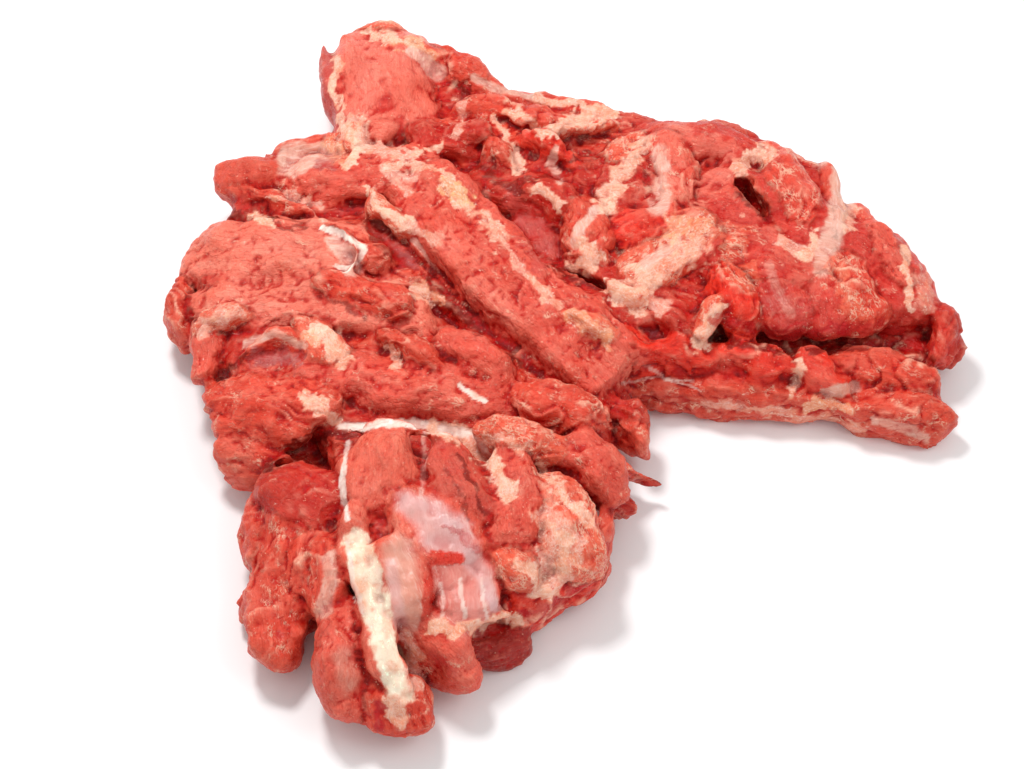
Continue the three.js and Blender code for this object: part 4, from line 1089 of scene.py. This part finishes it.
def rawBeef():
    # raw beef, cut and torn by a knife: wet lean meat, with soft fat and silverskin over it. The wet film
    # gives small sharp glints, fat is duller and skin shinier, and fibres and white webs follow the grain.
    look = freshBeef
    material = bpy.data.materials.new("rawBeefMuscle")
    material.use_nodes = True
    tree = material.node_tree
    tree.nodes.clear()

    def add(*what, **settings):
        return addNode(tree, *what, **settings)

    def shade(name):
        return (*linear(look[name]), 1)

    base = add("colourOf", attribute_name="meatColour")
    fat, skin, web = (add("valueOf", attribute_name=key) for key in ("fat", "skin", "web"))
    grain = add("vectorOf", attribute_name="grain")  # in millimetres
    place = add("place")  # in metres

    strand = add("noise", add("stretch", grain, (look["fibreDrawn"], 1, 1)), 1 / look["fibre"], 2.0)
    speck = add("noise", place, 1 / (look["speck"] * mm), 4.0, 0.6)
    patch = add("noise", place, 1 / (look["patch"] * mm), 4.0, 0.6)
    finePatch = add("noise", place, 1 / (look["finePatch"] * mm), 3.0, 0.5, 0.6)

    # fine white web: the level lines of three noises drawn out along the grain, which wind and branch
    winding = add("scaleVector", add("noiseColour", place, 1 / (look["winding"] * mm), 2.0), 3.0)
    woundGrain = add("addVector", grain, winding)
    webPlace = add("stretch", woundGrain, (look["webDrawn"], 1, 1))
    threads = 0.0
    for share, width in look["webLevels"]:
        level = add("noise", webPlace, 1 / (look["web"] * share), 2.5)
        line = add("ramp", add("absolute", add("subtract", level, 0.5)), width, 0.0)
        threads = add("maximum", line, threads)
    webReach = add("add", web, add("multiply", add("subtract", patch, 0.5), 3.5))
    webAmount = add("multiply", add("multiply", threads, add("ramp", webReach, 0.6, 1.2)), 0.8)

    # bundles: cells drawn out along the grain, with a crease between one and the next, which dips in the bump
    # and is darkened as painted shade
    bundlePlace = add("stretch", woundGrain, (look["bundleDrawn"], 1, 1))
    bundleEdge = add("cellEdge", bundlePlace, 1 / look["bundle"])
    bundleTone = add("cellColour", bundlePlace, 1 / look["bundle"])
    crease = add("multiply", add("ramp", bundleEdge, 0.1, 0.0), add("ramp", finePatch, 0.42, 0.62))

    # lean: paler strands, paler bundles, dark specks, pale specks in patches, painted shade in the creases,
    # and the web over all
    lean = add("mix", add("ramp", strand, 0.35, 0.7), base, add("tint", 1.0, base, (1.12, 1.3, 1.3, 1)))
    lean = add("mix", add("multiply", add("ramp", bundleTone, 0.5, 0.85), 0.5), lean,
               add("tint", 1.0, lean, (1.08, 1.6, 1.65, 1)))
    lean = add("mix", add("multiply", add("ramp", speck, 0.44, 0.32), 0.55), lean,
               add("tint", 1.0, lean, (0.9, 0.42, 0.36, 1)))
    paleSpecks = add("multiply", add("ramp", speck, 0.6, 0.72), add("ramp", finePatch, 0.48, 0.62))
    lean = add("mix", paleSpecks, lean, shade("palest"))
    # painted shade in the creases between the bundles
    lean = add("mix", add("multiply", crease, 0.5), lean, add("tint", 1.0, lean, (0.85, 0.4, 0.35, 1)))
    flesh = add("mix", webAmount, lean, shade("webColour"))

    # fat: soft lobules a few millimetres across, pink to orange, its edges ragged along the grain
    rag = add("noise", webPlace, 1 / look["rag"], 4.0, 0.65)
    lobuleEdge = add("cellEdge", place, 1 / (look["lobule"] * mm))
    seam = add("multiply", add("ramp", lobuleEdge, 0.1, 0.0), add("ramp", patch, 0.5, 0.64))
    seam = add("multiply", seam, add("ramp", skin, 0.3, 0.0))
    fatColour = add("mix", add("multiply", add("ramp", rag, 0.5, 0.36), 0.6), base, shade("fatRag"))
    fatColour = add("mix", add("multiply", seam, 0.4), fatColour, shade("fatSeam"))
    fatSpecks = add("multiply", add("ramp", speck, 0.5, 0.7), 0.65)
    fatColour = add("mix", fatSpecks, fatColour, shade("fatSpeck"))
    fatColour = add("mix", add("multiply", threads, 0.25), fatColour, shade("fatThread"))
    fatEdge = add("add", fat, add("multiply", add("subtract", rag, 0.5), 2.8))
    surface = add("mix", add("ramp", fatEdge, 0.45, 0.6), flesh, fatColour)

    # silverskin: fine pale streaks along the grain, with the flesh showing through
    streak = add("noise", add("stretch", grain, (look["skinDrawn"], 1, 1)), look["skinStreak"], 4.0, 0.65)
    thin = add("subtract", 1.0, add("multiply", add("ramp", skin, 0.8, 1.0), 0.8))
    streakAmount = add("multiply", add("multiply", add("ramp", streak, 0.45, 0.7), 0.7), thin)
    thinAmount = add("multiply", add("multiply", add("ramp", patch, 0.5, 0.72), 0.55), thin)
    skinColour = add("mix", streakAmount, base, shade("skinLight"))
    skinColour = add("mix", thinAmount, skinColour, shade("fleshThrough"))
    surface = add("mix", add("multiply", add("ramp", skin, 0.3, 0.9), 0.85), surface, skinColour)

    roughness = look["roughness"]
    for amount, key in ((fat, "fatRoughness"), (skin, "skinRoughness")):
        roughness = add("add", roughness, add("multiply", amount, look[key] - look["roughness"]))
    roughness = add("addUpToOne", roughness, add("multiply", add("subtract", speck, 0.5), 0.5))

    # strands, specks and creases stand out, least on fat and silverskin, and the web a little over all
    height = add("add", add("multiply", strand, 0.4), add("multiply", speck, 1.1))
    height = add("subtract", height, add("multiply", crease, 0.4))
    calm = add("addUpToOne", add("multiply", skin, 0.75), add("multiply", fat, 0.5))
    height = add("multiply", height, add("subtract", 1.0, calm))
    height = add("add", height, add("multiply", webAmount, 0.3))
    bump = add("bump", height, look["bump"], look["bumpHeight"] * mm)

    add("out", add("shader", surface, roughness, bump, look["ior"], look["specular"], look["coat"],
                   look["coatRoughness"], bump))
    return material


beef = rawBeef()
skinMesh = makeMesh("skin", points, [quads])
numbers = np.arange(len(points), dtype=np.int32)
skinMesh.attributes.new("number", "INT", "POINT").data.foreach_set("value", numbers)
for name, left, right in zip(slices["names"], slices["edges"], slices["edges"][1:]):
    makePiece(name, skinMesh, left, right, beef)
bpy.data.meshes.remove(skinMesh)


# stage

# a matt white table, even daylight, and two lamps: place and size in millimetres, power in watts
stage = {
    "floor": "#f7f7f7",
    "floorSize": 6000,
    "floorRoughness": 0.8,
    "floorSpecular": 0.1,
    "daylight": 0.66,
    "keyLight": {"place": (-380, 480, 1300), "size": 280, "power": 13},
    "fillLight": {"place": (800, -300, 1200), "size": 700, "power": 4},
}


def paleFloor():
    # matt white studio card
    corners = np.array([[-1, -1, 0], [1, -1, 0], [1, 1, 0], [-1, 1, 0]]) * stage["floorSize"] / 2
    mesh = makeMesh("studioFloor", corners, [np.array([[0, 1, 2, 3]])])
    material = bpy.data.materials.new("whiteStudioCard")
    material.use_nodes = True
    shader = material.node_tree.nodes["Principled BSDF"]
    shader.inputs["Base Color"].default_value = (*linear(stage["floor"]), 1)
    shader.inputs["Roughness"].default_value = stage["floorRoughness"]
    shader.inputs["Specular IOR Level"].default_value = stage["floorSpecular"]
    mesh.materials.append(material)
    floor = bpy.data.objects.new("studioFloor", mesh)
    bpy.context.scene.collection.objects.link(floor)


def softLight(name):
    # a large square lamp aimed at the middle of the table
    lamp = bpy.data.lights.new(name, "AREA")
    lamp.size = stage[name]["size"] * mm
    lamp.energy = stage[name]["power"]
    thing = bpy.data.objects.new(name, lamp)
    thing.location = [part * mm for part in stage[name]["place"]]
    thing.rotation_euler = (-thing.location).to_track_quat("-Z", "Y").to_euler()
    bpy.context.scene.collection.objects.link(thing)


paleFloor()
world = bpy.data.worlds.new("studio")
world.use_nodes = True
sky = world.node_tree.nodes["Background"]
sky.inputs["Color"].default_value = (1, 1, 1, 1)
sky.inputs["Strength"].default_value = stage["daylight"]
bpy.context.scene.world = world
softLight("keyLight")
softLight("fillLight")

camera = bpy.data.cameras.new("camera")
camera.lens, camera.sensor_width = eye["lens"], eye["sensor"]
camera.clip_start, camera.clip_end = 0.1, 20  # metres
cameraStand = bpy.data.objects.new("camera", camera)
cameraStand.location = eyeAt * mm
cameraStand.rotation_euler = (math.pi / 2 - eye["elevation"], 0, 0)
bpy.context.scene.collection.objects.link(cameraStand)
bpy.context.scene.camera = cameraStand
bpy.context.scene.view_settings.view_transform = "Standard"
print("stage set")
